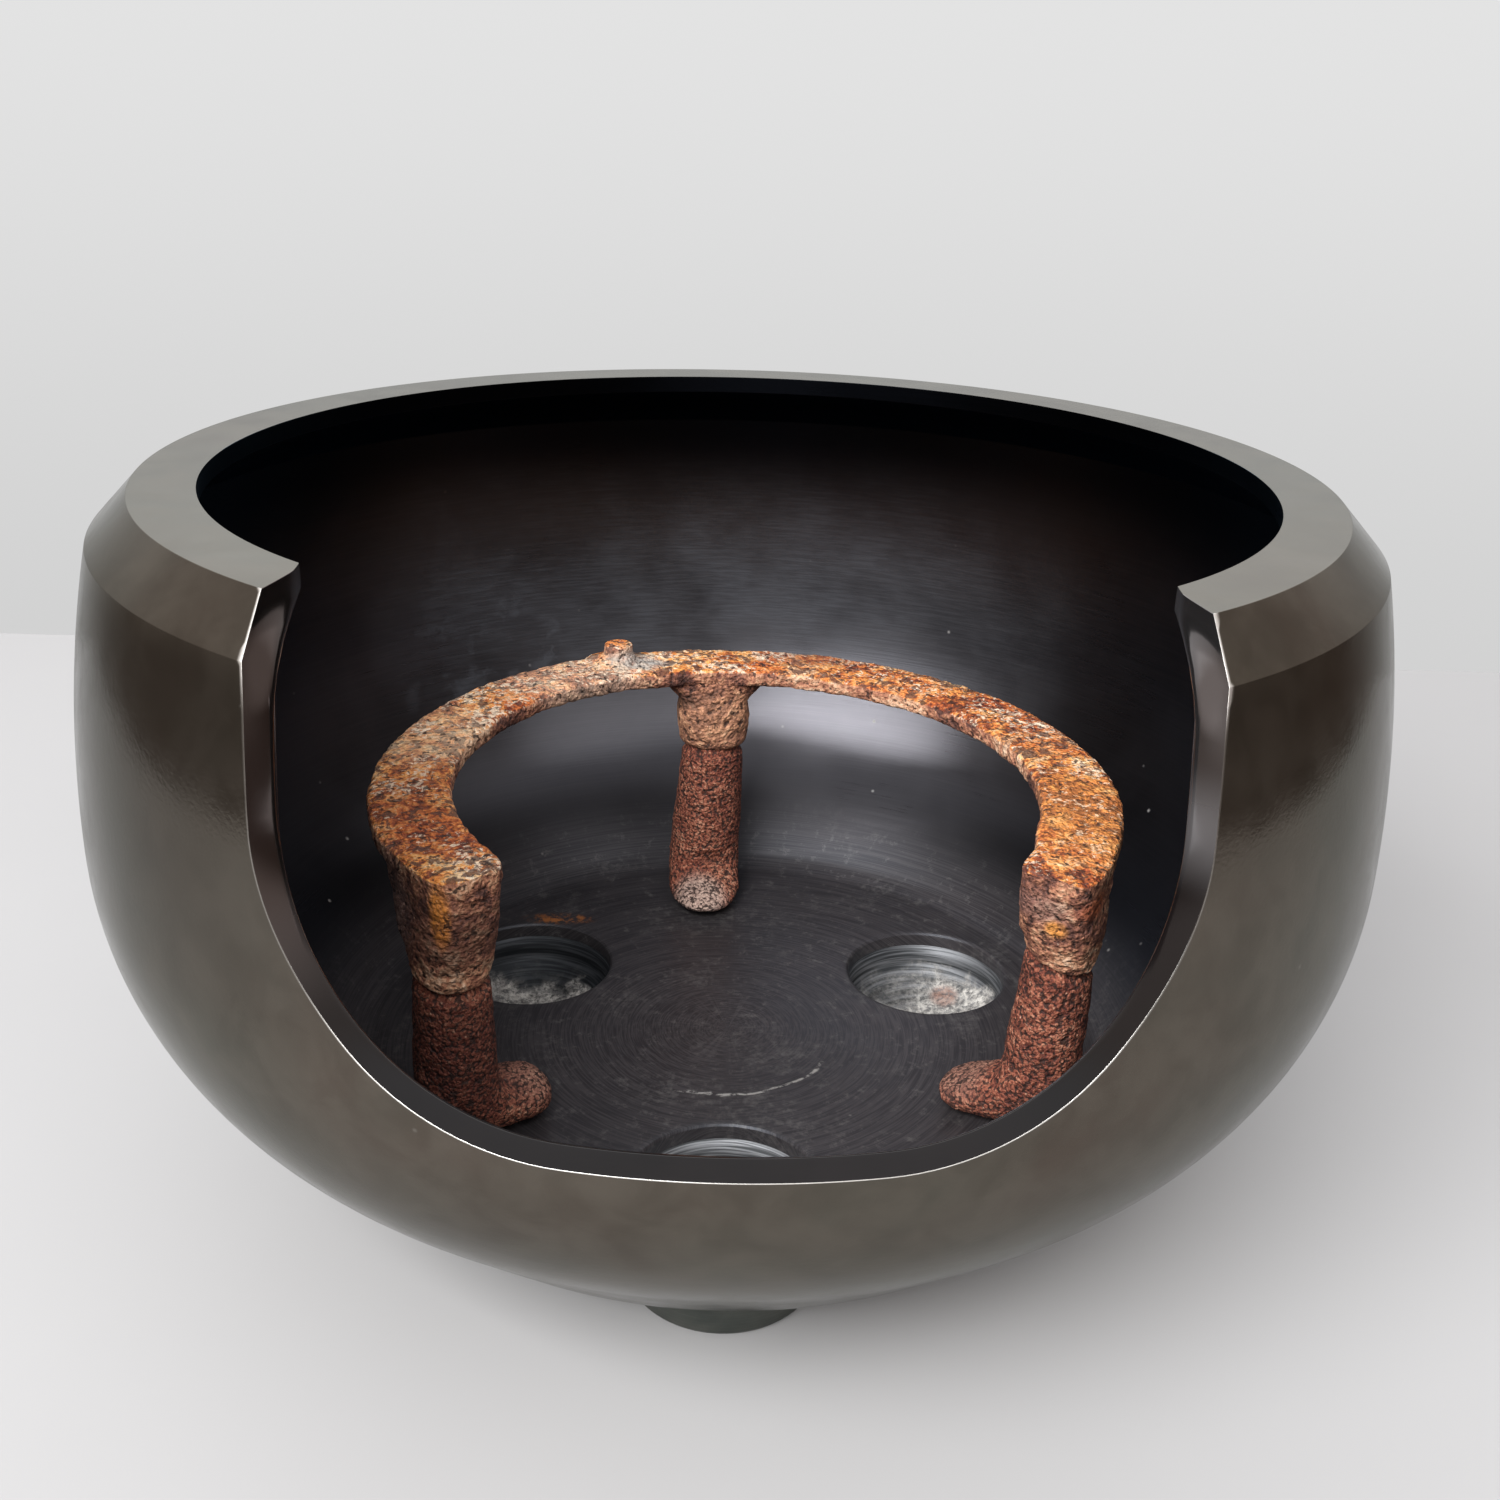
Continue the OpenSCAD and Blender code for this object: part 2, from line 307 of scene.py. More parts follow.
def window_strip():
    """The cut face round the window. Each row crosses the wall at one place of a U-shaped crest line;
    along the row the face falls back from the crest by a power of the distance to it, to a sharp
    outer edge and a rounded inner one."""
    middle = WINDOW_HALF - WINDOW_R
    x = np.linspace(0.0, middle, SILL_STEPS + 1)
    sill = np.stack([x, np.full_like(x, SILL_Z), 0.0 * x, 0.0 * x - 1.0, 0.0 * x + SILL_FALL], -1)
    t = np.linspace(0.0, 1.0, CORNER_STEPS + 1)[1:]
    a = (t - 1.0) * np.pi / 2
    corner = np.stack([middle + WINDOW_R * np.cos(a), SILL_Z + WINDOW_R * (1.0 + np.sin(a)),
                       np.cos(a), np.sin(a), SILL_FALL + CORNER_FALL * smooth(0.55, 1.0, t)], -1)
    z = np.linspace(SILL_Z + WINDOW_R, SLOPE_Z, JAMB_STEPS + 1)[1:]
    z = np.concatenate([z, RIM_LEVELS])
    crest = np.interp(z, CREST_Z, CREST_X)
    edge = np.interp(z, EDGE_Z, EDGE_X)
    jamb = np.stack([crest, z, 0.0 * z + 1.0, 0.0 * z, edge - crest], -1)
    right = np.concatenate([sill, corner, jamb])
    left = right[:0:-1] * np.array([-1.0, 1.0, -1.0, 1.0, 1.0])
    px, pz, nx, nz, back = np.concatenate([left, right]).T[:, :, None]
    fade = smooth(RIM_Z, SLOPE_Z, pz)
    inner_back = INNER_FALL + fade
    power = 1.1 + 0.8 * fade * smooth(ROUND_FROM, ROUND_TO, pz)
    fall = back * np.clip(1.0 - ACROSS / CREST_AT, 0.0, 1.0) ** power
    fall = fall + inner_back * np.clip((ACROSS - CREST_AT) / (1.0 - CREST_AT), 0.0, 1.0) ** 2
    y_out = -np.sqrt(outer_radius(pz + nz * back) ** 2 - (px + nx * back) ** 2)
    y_in = -np.sqrt(inner_radius(pz + nz * inner_back) ** 2 - (px + nx * inner_back) ** 2)
    return np.stack([px + nx * fall, y_out + (y_in - y_out) * ACROSS, pz + nz * fall], -1)


def turn_of(points):
    """Angle about the axis, from the front towards the right."""
    return np.arctan2(points[..., 0], -points[..., 1])


def rim_band(strip):
    """The rim: arcs round the back from one end of the cut to the other, one for each point of the
    section, up the outside, across the top and down inside. Each arc starts where the cut ends."""
    levels = len(RIM_LEVELS)
    outside = strip[-levels - 1:, 0]
    inside = strip[-levels - 1:, -1][::-1]
    section = np.concatenate([outside, strip[-1, 1:-1], inside])
    r = np.hypot(section[:, 0], section[:, 1])[:, None]
    start = turn_of(section)[:, None]
    share = np.linspace(0.0, 1.0, ARC_STEPS + 1)
    band = turned(r, start + (2.0 * np.pi - 2.0 * start) * share, section[:, 2:])
    wear = np.zeros(len(section))
    split = levels + strip.shape[1]
    wear[[levels, split - 1]] = RIM_WEAR
    wear[1:levels + 1][RIM_LEVELS == BEVEL_Z] = BEVEL_WEAR
    return band[:split], band[split - 1:], wear[:split, None], wear[split - 1:, None]


def wall_sheet(edge, inset):
    """The wall below the rim: straight lines, in angle and height, from an even circle under the
    window up to the closed line that runs along the window's edge and round the back."""
    levels = len(RIM_LEVELS)
    notch = edge[levels:-levels]
    turn = turn_of(notch)
    arc = np.linspace(turn[-1], 2.0 * np.pi + turn[0], ARC_STEPS + 1)[1:]
    top_turn = np.concatenate([turn, arc])
    top_z = np.concatenate([notch[:, 2], np.full(ARC_STEPS, SLOPE_Z)])
    third = np.pi / 3.0
    low_turn = np.concatenate([np.linspace(-third, third, len(notch)),
                               np.linspace(third, 5.0 * third, ARC_STEPS + 1)[1:]])
    v = np.linspace(0.0, 1.0, SHEET_STEPS + 1)[:, None]
    z = SHEET_Z + (top_z - SHEET_Z) * v
    sheet = turned(wall_radius(z, inset), low_turn + (top_turn - low_turn) * v, z)
    return sheet, low_turn, len(notch)


def lower_wall(low_turn, inset, bottom):
    """The wall below the sheet: round heel, flank and hip, turned about the axis."""
    line = HIP_X + (HIP_R - inset) * np.sqrt(2.0) - BELLY_Z
    centre = bottom + HEEL_R + line - HEEL_R * np.sqrt(2.0)
    a = np.radians(np.linspace(-90.0, -45.0, 8))
    z = np.linspace(bottom + HEEL_R * (1.0 - np.sqrt(0.5)), SHEET_Z, 16)[1:]
    r = np.concatenate([centre + HEEL_R * np.cos(a), wall_radius(z, inset)])[:, None]
    z = np.concatenate([bottom + HEEL_R * (1.0 + np.sin(a)), z])[:, None]
    return turned(r, low_turn, z), centre


def base_sector(low_turn, middle, floor_r, under_r):
    """A third of the base: straight lines from the round well out to the sector's edge, which runs
    from the axis out, along the heel and back. Floor, well and seat, then underside."""
    steps = np.linspace(0.0, 1.0, 25)

    def edge(r, z):
        out, back = (turned(r * steps, low_turn[n], z) for n in (0, -1))
        return np.concatenate([out, turned(r, low_turn, z)[1:], back[-2::-1]])

    floor_edge, under_edge = edge(floor_r, FLOOR_Z), edge(under_r, UNDER_Z)
    centre = turned(FOOT_PITCH, np.radians(middle), 0.0)
    way = floor_edge[:, :2] - centre[:2]
    way = way / np.linalg.norm(way, axis=1)[:, None]

    def loop(r, z):
        return np.concatenate([centre[:2] + r * way, np.full((len(way), 1), z)], 1)

    well = [loop(WELL_R + out, FLOOR_Z - down) for out, down in WELL_ROUND] + [loop(WELL_R, SEAT_Z)]
    well = np.stack(well)
    seat = np.stack([well[-1], loop(SEAT_R, SEAT_Z), loop(SEAT_R, UNDER_Z)])
    v = (np.linspace(0.0, 1.0, 13) ** 1.5)[:, None, None]
    floor = well[0] * (1.0 - v) + floor_edge * v
    under = seat[-1] * (1.0 - v) + under_edge * v
    return floor, well, seat, under


def bowl_mesh():
    """The whole bowl: cut face, rim, outer and inner wall, and the three sectors of its base."""
    strip = window_strip()
    wear = np.zeros(strip.shape[1])
    wear[0] = CUT_WEAR
    rim_out, rim_in, wear_out, wear_in = rim_band(strip)
    outer, low_turn, notch = wall_sheet(strip[:, 0], 0.0)
    inner, _, _ = wall_sheet(strip[:, -1], WALL)
    outer_low, under_r = lower_wall(low_turn, 0.0, UNDER_Z)
    inner_low, floor_r = lower_wall(low_turn, WALL, FLOOR_Z)
    patches = [(strip, 1, wear), (rim_out, 0, wear_out), (rim_in, 2, wear_in), (outer, 0, 0.0),
               (inner, 2, 0.0), (outer_low, 0, 0.0), (inner_low, 2, 0.0)]
    cuts = [0, notch - 1, notch - 1 + ARC_STEPS // 2, len(low_turn) - 1]
    for turn, start, end in zip(FOOT_TURNS, cuts[:-1], cuts[1:]):
        floor, well, seat, under = base_sector(low_turn[start:end + 1], turn, floor_r, under_r)
        patches += [(floor, 2, 0.0), (well, 2, 0.0), (seat, 2, 0.0), (under, 0, 0.0)]
    return weld(patches)


# The feet

def foot_mesh(turn):
    """A cup turned about its own axis: rounded sole, cone outside, and a well with a dished bottom
    that follows an ellipse."""
    a = np.radians(np.linspace(-90.0, -5.0, 7))
    sole = np.stack([SOLE_R + SOLE_ROUND * (np.cos(a) - 1.0), SOLE_ROUND * (1.0 + np.sin(a))], -1)
    cone = np.stack([np.linspace(*CONE_R, 9)[1:], np.linspace(*CONE_Z, 9)[1:]], -1)
    b = np.radians(np.linspace(0.0, 90.0, 22))
    dish = np.stack([WELL_R * np.cos(b), DISH_Z - DISH_DEPTH * np.sin(b) ** 1.2], -1)
    section = np.concatenate([[[0.0, 0.0], [SOLE_LOOP_R, 0.0]], sole, cone, [[WELL_R, SEAT_Z]], dish])
    section[-1, 0] = 0.0
    spin = np.linspace(0.0, 2.0 * np.pi, AROUND)
    r, z = section[:, :1], section[:, 1:]
    centre = turned(FOOT_PITCH, np.radians(turn), 0.0)
    cup = centre + np.stack([r * np.cos(spin), r * np.sin(spin), z + 0.0 * spin], -1)
    inside = np.arange(len(section)) >= len(section) - len(dish) - 1
    return weld([(cup, 0, inside[:, None] * 1.0)])


# The trivet

def squared(t, power):
    """Both parts of the curve |x|^p + |y|^p = 1 at an angle: a circle at 2, squarer above it."""
    c, s = np.cos(t), np.sin(t)
    return np.sign(c) * np.abs(c) ** (2.0 / power), np.sign(s) * np.abs(s) ** (2.0 / power)


def closed_outline(half_x, half_y, power, count):
    """Points evenly spaced along a squared curve with these half widths, from its right and back to it."""
    x, y = squared(np.linspace(0.0, 2.0 * np.pi, 2001), power)
    x, y = half_x * x, half_y * y
    run = np.concatenate([[0.0], np.cumsum(np.hypot(np.diff(x), np.diff(y)))])
    even = np.linspace(0.0, run[-1], count + 1)
    line = np.stack([np.interp(even, run, x), np.interp(even, run, y)], -1)
    line[-1] = line[0]
    return line


def closed(*grids):
    """One grid from grids of rings, with each ring's last point on its first."""
    patch = np.concatenate(grids)
    patch[:, -1] = patch[:, 0]
    return patch


def rusted(mesh_parts, grain, depth, seed):
    """The mesh with each point moved along its normal by coarse and fine noise, less round pits."""
    points, quads, finish, mark = mesh_parts
    way = outward(points, quads)
    lumps = rough(points, 9.0 * grain, 2, seed) * 0.35 + rough(points, 2.6 * grain, 3, seed + 7) * 0.36
    pit = smooth(0.42, 0.1, cells(points, 3.1 * grain, seed + 20))
    pit = pit * smooth(-0.2, 0.5, noise(points / 8.0, seed + 3))
    fine = smooth(0.5, 0.15, cells(points, 1.7 * grain, seed + 30))
    move = depth * (lumps - 0.9 * pit - 0.2 * fine)
    return (points + way * move[:, None], quads, finish, mark), pit


def at_leg(turn, out, side, z):
    """Point at a distance out from the ring's centre and to the side of a leg, at a height."""
    a = np.radians(turn)
    return np.stack(np.broadcast_arrays(RING_X + out * np.cos(a) - side * np.sin(a),
                                        out * np.sin(a) + side * np.cos(a), z), -1)


def ring_lift(x, y):
    """Height of the ring above level: it tips up to the back and the left, most at the back left."""
    turn = np.arctan2(y, x - RING_X)
    slope = np.where(y > 0.0, TIP_BACK, TIP_FRONT)
    rise = RISE_H * np.exp(-(((turn - RISE_TURN) / RISE_WIDTH) ** 2))
    return slope * y - TIP_LEFT * x + rise


def blunt(run, length, power):
    """Share of the full width at a run from the end, along a curve that rounds the end off."""
    return (1.0 - np.clip(1.0 - run / length, 0.0, 1.0) ** power) ** (1.0 / power)


def ring_patch():
    """The open ring: a rounded bar's outline carried along an arc. The left end is round; the right
    one is squarer, and its inner side draws out towards the outer."""
    near = np.array([0.06, 0.2, 0.4])
    turn = np.linspace(*RING_ENDS, 620)
    turn = np.sort(np.concatenate([turn, RING_ENDS[0] + near, RING_ENDS[1] - near]))[:, None]
    run_left = np.radians(RING_ENDS[1] - turn) * RING_PITCH
    run_right = np.radians(turn - RING_ENDS[0]) * RING_PITCH
    close = blunt(run_left, 10.0, 2.5) * blunt(run_right, 4.5, 3.0)
    outer = RING_HALF - 1.2 * smooth(30.0, 12.0, run_left) + 0.9 * smooth(28.0, 10.0, run_right)
    inner = RING_HALF - 0.8 * smooth(24.0, 8.0, run_left) - 4.3 * smooth(32.0, 4.0, run_right)
    line = closed_outline(1.0, RING_T / 2 / RING_HALF, 5.0, 76)
    across, up = line[:, 0], line[:, 1] * RING_HALF
    out = RING_PITCH + (outer - inner) / 2 + across * close * (outer + inner) / 2
    a = np.radians(turn)
    x, y = RING_X + out * np.cos(a), out * np.sin(a)
    return np.stack([x, y, RING_Z - RING_T / 2 + up + ring_lift(x, y)], -1)


def socket_patch(name):
    """A socket under the ring: an outline that goes from the ring end's own square shoulders to round
    as it tapers, with a rounded lip at its foot that closes in to the axis."""
    turn, foot, form, pitch = LEG_TURNS[name], JOINT_Z[name], SOCKET_FORM[name], LEG_PITCH[name]
    axis = at_leg(turn, pitch, 0.0, 0.0)
    top = RING_Z - 0.8 + ring_lift(axis[0], axis[1])
    h = np.linspace(0.0, 1.0, 58)[:, None]
    z = top + (foot - top) * h
    level = smooth(top - RING_T, foot, z)
    narrow = smooth(0.0, form["flare"], np.clip((top - RING_T - z) / (top - RING_T - foot), 0.0, 1.0))
    lip = np.clip((h - 0.9) / 0.1, 0.0, 1.0)
    deep = form["top"][0] + (form["foot"][0] - form["top"][0]) * level
    wide = form["top"][1] + (form["foot"][1] - form["top"][1]) * narrow
    bulge = form["bulge"] * np.sin(np.pi * smooth(0.3, 1.0, h))
    close = np.where(lip > 0, 0.7 + 0.3 * np.sqrt(np.clip(1.0 - lip**2, 0.0, 1.0)), 1.0)
    power = form["square"] + (2.25 - form["square"]) * smooth(0.15, 0.95, h)
    x, y = squared(np.linspace(0.0, 2.0 * np.pi, AROUND), power)
    x = (deep + bulge) * close * x + form["shift"][0] * (1.0 - level)
    y = (wide + bulge) * close * y + form["shift"][1] * (1.0 - level)
    slope = form["lip"][0] * x + form["lip"][1] * y
    z = z + smooth(0.6, 1.0, h) * slope / LIP_REACH
    body = at_leg(turn, pitch + x, y, z)
    shrink = np.array([0.8, 0.5, 0.2, 0.0])[:, None]
    under_z = foot + (z[-1] - foot) * shrink + 0.4 * (1.0 - shrink)
    under = at_leg(turn, pitch + x[-1] * shrink, y[-1] * shrink, under_z)
    cap = at_leg(turn, pitch + x[0] * shrink[::-1], y[0] * shrink[::-1], top + 0.0 * shrink)
    return closed(cap, body, under)


def leg_patch(name):
    """A leg: an oval carried down the leg's axis, round a bend, and in along the toe. The oval grows
    to the heel, then flattens and sinks along the toe, and what falls below the sole is set level
    with it."""
    turn, joint, pitch = LEG_TURNS[name], JOINT_Z[name], LEG_PITCH[name]
    thin, stout, lean, reach, swing, heel, nose, round_off, waist = LEG_FORM[name]
    top = joint + LEG_IN_SOCKET
    straight = top - CLAW_Z - heel - LEG_BEND
    quarter = LEG_BEND * np.pi / 2
    total = straight + quarter + reach - LEG_BEND
    s = np.concatenate([np.linspace(0.0, 1.0, 112)[:-1], 1.0 - np.array([0.006, 0.003, 0.001, 0.0])])
    s = total * np.sort(s)[:, None]
    a = np.clip((s - straight) / LEG_BEND, 0.0, np.pi / 2)
    along = np.clip(s - straight - quarter, 0.0, None)
    shank = smooth(0.0, straight, s) * (1.0 - smooth(straight, total, s))
    centre_out = -LEG_BEND * (1.0 - np.cos(a)) - along + lean * shank
    sink = (heel - nose) * smooth(straight + quarter * 0.4, total - 2.0, s)
    centre_z = top - np.clip(s, 0.0, straight) - LEG_BEND * np.sin(a) - sink
    left = total - s
    tip = np.sqrt(np.clip(1.0 - np.clip(1.0 - left / round_off, 0.0, 1.0) ** 2.2, 0.0, 1.0))
    neck = waist + (1.0 - waist) * smooth(4.0, 6.4, s)
    width = thin + (stout - thin) * smooth(-10.0, straight + quarter * 0.5, s)
    side = (width - 0.6 * smooth(straight + quarter * 0.8, total, s)) * neck * tip
    flat = smooth(straight + quarter * 0.1, straight + quarter * 1.1, s)
    thick = (width + (heel - width) * flat - sink) * neck * tip
    t = np.linspace(0.0, 2.0 * np.pi, AROUND)
    u, v = np.cos(t) * thick, np.sin(t) * side + swing * smooth(0.0, total, s)
    out = pitch + centre_out + u * np.cos(a)
    lip = SOCKET_FORM[name]["lip"]
    slope = (lip[0] * u + lip[1] * v) / LIP_REACH * smooth(14.0, 5.0, s)
    z = np.maximum(centre_z - u * np.sin(a) + slope, CLAW_Z)
    body = at_leg(turn, out, v, z)
    shrink = np.array([0.0, 0.4, 0.8])[:, None]
    cap = at_leg(turn, pitch + u[0] * shrink, v[0] * shrink, top + slope[0] * shrink)
    return closed(cap, body)


def peg_patch():
    """The peg: its section turned about an upright axis, with the collar of crust drawn out to one
    side."""
    run = np.linspace(0.0, len(PEG_SECTION) - 1.0, 46)
    r, z = (np.interp(run, np.arange(len(PEG_SECTION)), part)[:, None] for part in PEG_SECTION.T)
    t = np.linspace(0.0, 2.0 * np.pi, 61)
    a = np.radians(PEG_TURN)
    crust = 1.0 + 0.35 * smooth(4.9, 8.0, r) * np.cos(t - a - np.pi / 2)
    x, y = RING_X + PEG_PITCH * np.cos(a), PEG_PITCH * np.sin(a)
    base = RING_Z + ring_lift(x, y)
    return closed(np.stack([x + r * crust * np.cos(t), y + r * crust * np.sin(t), base + z + 0.0 * t], -1))


# Materials. Places and sizes are in metres from here on, as object coordinates are

class Tree:
    """Short way to add nodes to a tree and to join them."""

    def __init__(self, tree):
        self.tree = tree

    def add(self, kind, inputs=None, **settings):
        """A new node with its settings and its inputs."""
        node = self.tree.nodes.new(kind)
        for key, value in settings.items():
            setattr(node, key, value)
        for key, value in (inputs or {}).items():
            self.put(node.inputs[key], value)
        return node

    def put(self, socket, value):
        """Joins an output to the socket or sets the socket's own value, a colour by its red, green, blue."""
        if isinstance(value, bpy.types.NodeSocket):
            self.tree.links.new(value, socket)
        else:
            socket.default_value = (*value, 1.0) if socket.type == "RGBA" else value

    def math(self, operation, a, b=0.0):
        return self.add("ShaderNodeMath", {0: a, 1: b}, operation=operation).outputs[0]

    def times(self, *values):
        return reduce(partial(self.math, "MULTIPLY"), values)

    def plus(self, *values):
        return reduce(partial(self.math, "ADD"), values)

    def most(self, *values):
        return reduce(partial(self.math, "MAXIMUM"), values)

    def less(self, a, b):
        return self.math("SUBTRACT", a, b)

    def vector(self, operation, *inputs):
        """A vector sum, which gives a number if it is a length or a dot product."""
        node = self.add("ShaderNodeVectorMath", dict(enumerate(inputs)), operation=operation)
        return node.outputs["Value" if operation in ("LENGTH", "DOT_PRODUCT") else "Vector"]

    def parts(self, vector):
        return self.add("ShaderNodeSeparateXYZ", {0: vector}).outputs

    def join(self, **parts):
        return self.add("ShaderNodeCombineXYZ", parts).outputs[0]

    def step(self, value, low, high):
        """Smooth step from 0 at low to 1 at high."""
        return self.add("ShaderNodeMapRange", {"Value": value, "From Min": low, "From Max": high},
                        interpolation_type="SMOOTHSTEP").outputs[0]

    def spread(self, value, low, high):
        """A value from 0 to 1, spread between low and high."""
        return self.add("ShaderNodeMapRange", {"Value": value, "To Min": low, "To Max": high}).outputs[0]

    def mix(self, factor, a, b, blend="MIX"):
        """Colour a, going over to colour b with the factor."""
        node = self.add("ShaderNodeMix", {0: factor, 6: a, 7: b}, data_type="RGBA", blend_type=blend)
        return node.outputs[2]

    def noise(self, vector, scale, detail=3.0, roughness=0.55, distortion=0.0):
        inputs = {"Vector": vector, "Scale": scale, "Detail": detail, "Roughness": roughness,
                  "Distortion": distortion}
        return self.add("ShaderNodeTexNoise", inputs).outputs["Fac"]

    def ramp(self, value, stops):
        """Colour read off a scale of stops, each a value and its colour."""
        node = self.add("ShaderNodeValToRGB", {0: value})
        elements = node.color_ramp.elements
        elements[0].position, elements[1].position = stops[0][0], stops[-1][0]
        for place, _ in stops[1:-1]:
            elements.new(place)
        for element, (_, colour) in zip(elements, stops):
            element.color = (*colour, 1.0)
        return node.outputs[0]

    def spot(self, place, centre, size):
        """Soft-edged mask of an oval round a point."""
        share = self.vector("DIVIDE", self.vector("SUBTRACT", place, centre), size)
        return self.step(self.vector("LENGTH", share), 1.0, 0.45)

    def use(self, group, **inputs):
        """A node group; the names of its inputs have underscores for spaces."""
        named = {label.replace("_", " "): value for label, value in inputs.items()}
        return self.add("ShaderNodeGroup", named, node_tree=group).outputs

    def bump(self, shader, height, strength, distance):
        """Joins a bump of that height to the shader's normal."""
        inputs = {"Height": height, "Strength": strength, "Distance": distance}
        self.put(shader["Normal"], self.add("ShaderNodeBump", inputs).outputs[0])


def new_group(name, inputs, outputs):
    """An empty node group with sockets for numbers or, where an input has no value, for a vector;
    returns it, its tree, what it is given and what it puts out."""
    group = bpy.data.node_groups.new(name, "ShaderNodeTree")
    for label, value in inputs.items():
        kind = "NodeSocketVector" if value is None else "NodeSocketFloat"
        socket = group.interface.new_socket(label, in_out="INPUT", socket_type=kind)
        if value is not None:
            socket.default_value = value
    for label in outputs:
        group.interface.new_socket(label, in_out="OUTPUT", socket_type="NodeSocketFloat")
    t = Tree(group)
    return group, t, t.add("NodeGroupInput").outputs, t.add("NodeGroupOutput").inputs


def turning_group():
    """Marks left by turning: noise drawn out round the axis and fine across it, as lines and as the
    broader bands that they gather in."""
    inputs = {"Per metre": 900.0, "Breaks": 5.0}
    group, t, given, out = new_group("turning marks", inputs, ["Lines", "Bands"])
    x, y, z = t.parts(t.add("ShaderNodeTexCoord").outputs["Object"])
    flat = t.join(X=x, Y=y)
    around = t.add("ShaderNodeVectorMath", {0: t.vector("NORMALIZE", flat), "Scale": given["Breaks"]},
                   operation="SCALE").outputs[0]
    run = t.plus(t.vector("LENGTH", flat), z)
    for label, share in (("Lines", 1.0), ("Bands", 0.13)):
        across = t.times(run, t.times(given["Per metre"], share))
        t.put(out[label], t.noise(t.vector("ADD", around, t.join(Z=across)), 1.0, 2.0, 0.6))
    return group


def mottle_group():
    """Soft uneven tone at one size, with finer clouding inside it."""
    inputs = {"Vector": None, "Per metre": 30.0, "Shift": 0.0}
    group, t, given, out = new_group("mottle", inputs, ["Tone"])
    moved = t.vector("ADD", given["Vector"], given["Shift"])
    t.put(out["Tone"], t.step(t.noise(moved, given["Per metre"], 4.0, 0.55, 0.4), 0.3, 0.7))
    return group


def specks_group():
    """Small scattered spots: the middles of some of the cells of a scattered pattern."""
    inputs = {"Vector": None, "Per metre": 200.0, "Share": 0.1, "Size": 0.2}
    group, t, given, out = new_group("specks", inputs, ["Mask"])
    cell = t.add("ShaderNodeTexVoronoi", {"Vector": given["Vector"], "Scale": given["Per metre"]}).outputs
    draw = t.add("ShaderNodeSeparateColor", {0: cell["Color"]}).outputs[0]
    chosen = t.math("LESS_THAN", draw, given["Share"])
    t.put(out["Mask"], t.times(chosen, t.step(cell["Distance"], given["Size"], 0.0)))
    return group


def edge_group():
    """Bare metal on a worn edge, which shows most along the sill and up at the bevel."""
    inputs = {"Vector": None, "Wear": 0.0, "Starts": 0.7, "Full": 0.93}
    group, t, given, out = new_group("edge wear", inputs, ["Bare"])
    height = t.parts(given["Vector"])[2]
    by_sill, by_bevel = t.step(height, 0.13, 0.112), t.step(height, 0.175, 0.186)
    where = t.most(by_sill, by_bevel)
    worn = t.step(given["Wear"], given["Starts"], given["Full"])
    t.put(out["Bare"], t.times(worn, t.plus(t.times(where, 0.8), 0.2)))
    return group


def grain_group():
    """Rust: an uneven tone in patches, the dark gaps between its beads, dark pits, pale flecks in
    drifts, dark scabs, and a height for the bump."""
    inputs = {"Vector": None, "Per metre": 850.0, "Grit": 0.5, "Patch": 1.0, "Pit": 0.0}
    outputs = ["Tone", "Gaps", "Pits", "Flecks", "Scabs", "Height"]
    group, t, given, out = new_group("rust grain", inputs, outputs)
    place, per_metre = given["Vector"], given["Per metre"]
    moved = t.vector("ADD", place, (0.37, 0.11, 0.23))
    fine = t.noise(place, per_metre, 3.0, 0.6)
    middle = t.noise(place, 190.0, 4.0, 0.68, 0.5)
    coarse = t.noise(place, 42.0, 3.0, 0.55)
    patches = t.less(t.plus(t.times(middle, 0.8), t.times(coarse, 0.7)), 0.75)
    grit = t.times(t.less(fine, 0.5), given["Grit"])
    t.put(out["Tone"], t.plus(t.times(patches, given["Patch"]), 0.5, grit))
    bead = t.add("ShaderNodeTexVoronoi", {"Vector": place, "Scale": per_metre}).outputs["Distance"]
    t.put(out["Gaps"], t.step(bead, 0.5, 0.74))
    dots = t.noise(moved, t.times(per_metre, 0.6), 2.0, 0.5)
    dots = t.less(dots, t.times(given["Pit"], 0.12))
    t.put(out["Pits"], t.step(dots, 0.4, 0.34))
    drift = t.times(t.noise(moved, 60.0, 2.0, 0.5), 0.6)
    t.put(out["Flecks"], t.step(t.plus(t.noise(moved, 520.0, 4.0, 0.72), drift), 0.85, 0.93))
    scab = t.plus(t.noise(moved, 260.0, 4.0, 0.62, 0.8), t.times(coarse, 0.45))
    t.put(out["Scabs"], t.step(scab, 0.765, 0.82))
    height = t.plus(t.times(fine, 0.7), t.times(middle, 1.5), t.times(dots, 0.8))
    t.put(out["Height"], t.less(height, t.times(bead, 0.45)))
    return group


TURNING, MOTTLE, SPECKS = turning_group(), mottle_group(), specks_group()
EDGE, GRAIN = edge_group(), grain_group()
BARE_BRONZE = (0.93, 0.91, 0.87)


def new_material(name):
    """A material; returns it, its tree, its surface shader's inputs and the place on the object."""
    material = bpy.data.materials.new(name)
    material.use_nodes = True
    material.node_tree.nodes.clear()
    t = Tree(material.node_tree)
    shader = t.add("ShaderNodeBsdfPrincipled")
    t.add("ShaderNodeOutputMaterial", {"Surface": shader.outputs[0]})
    return material, t, shader.inputs, t.add("ShaderNodeTexCoord").outputs["Object"]


def attribute(t, label):
    """A mark that the mesh carries."""
    return t.add("ShaderNodeAttribute", attribute_name=label).outputs["Fac"]


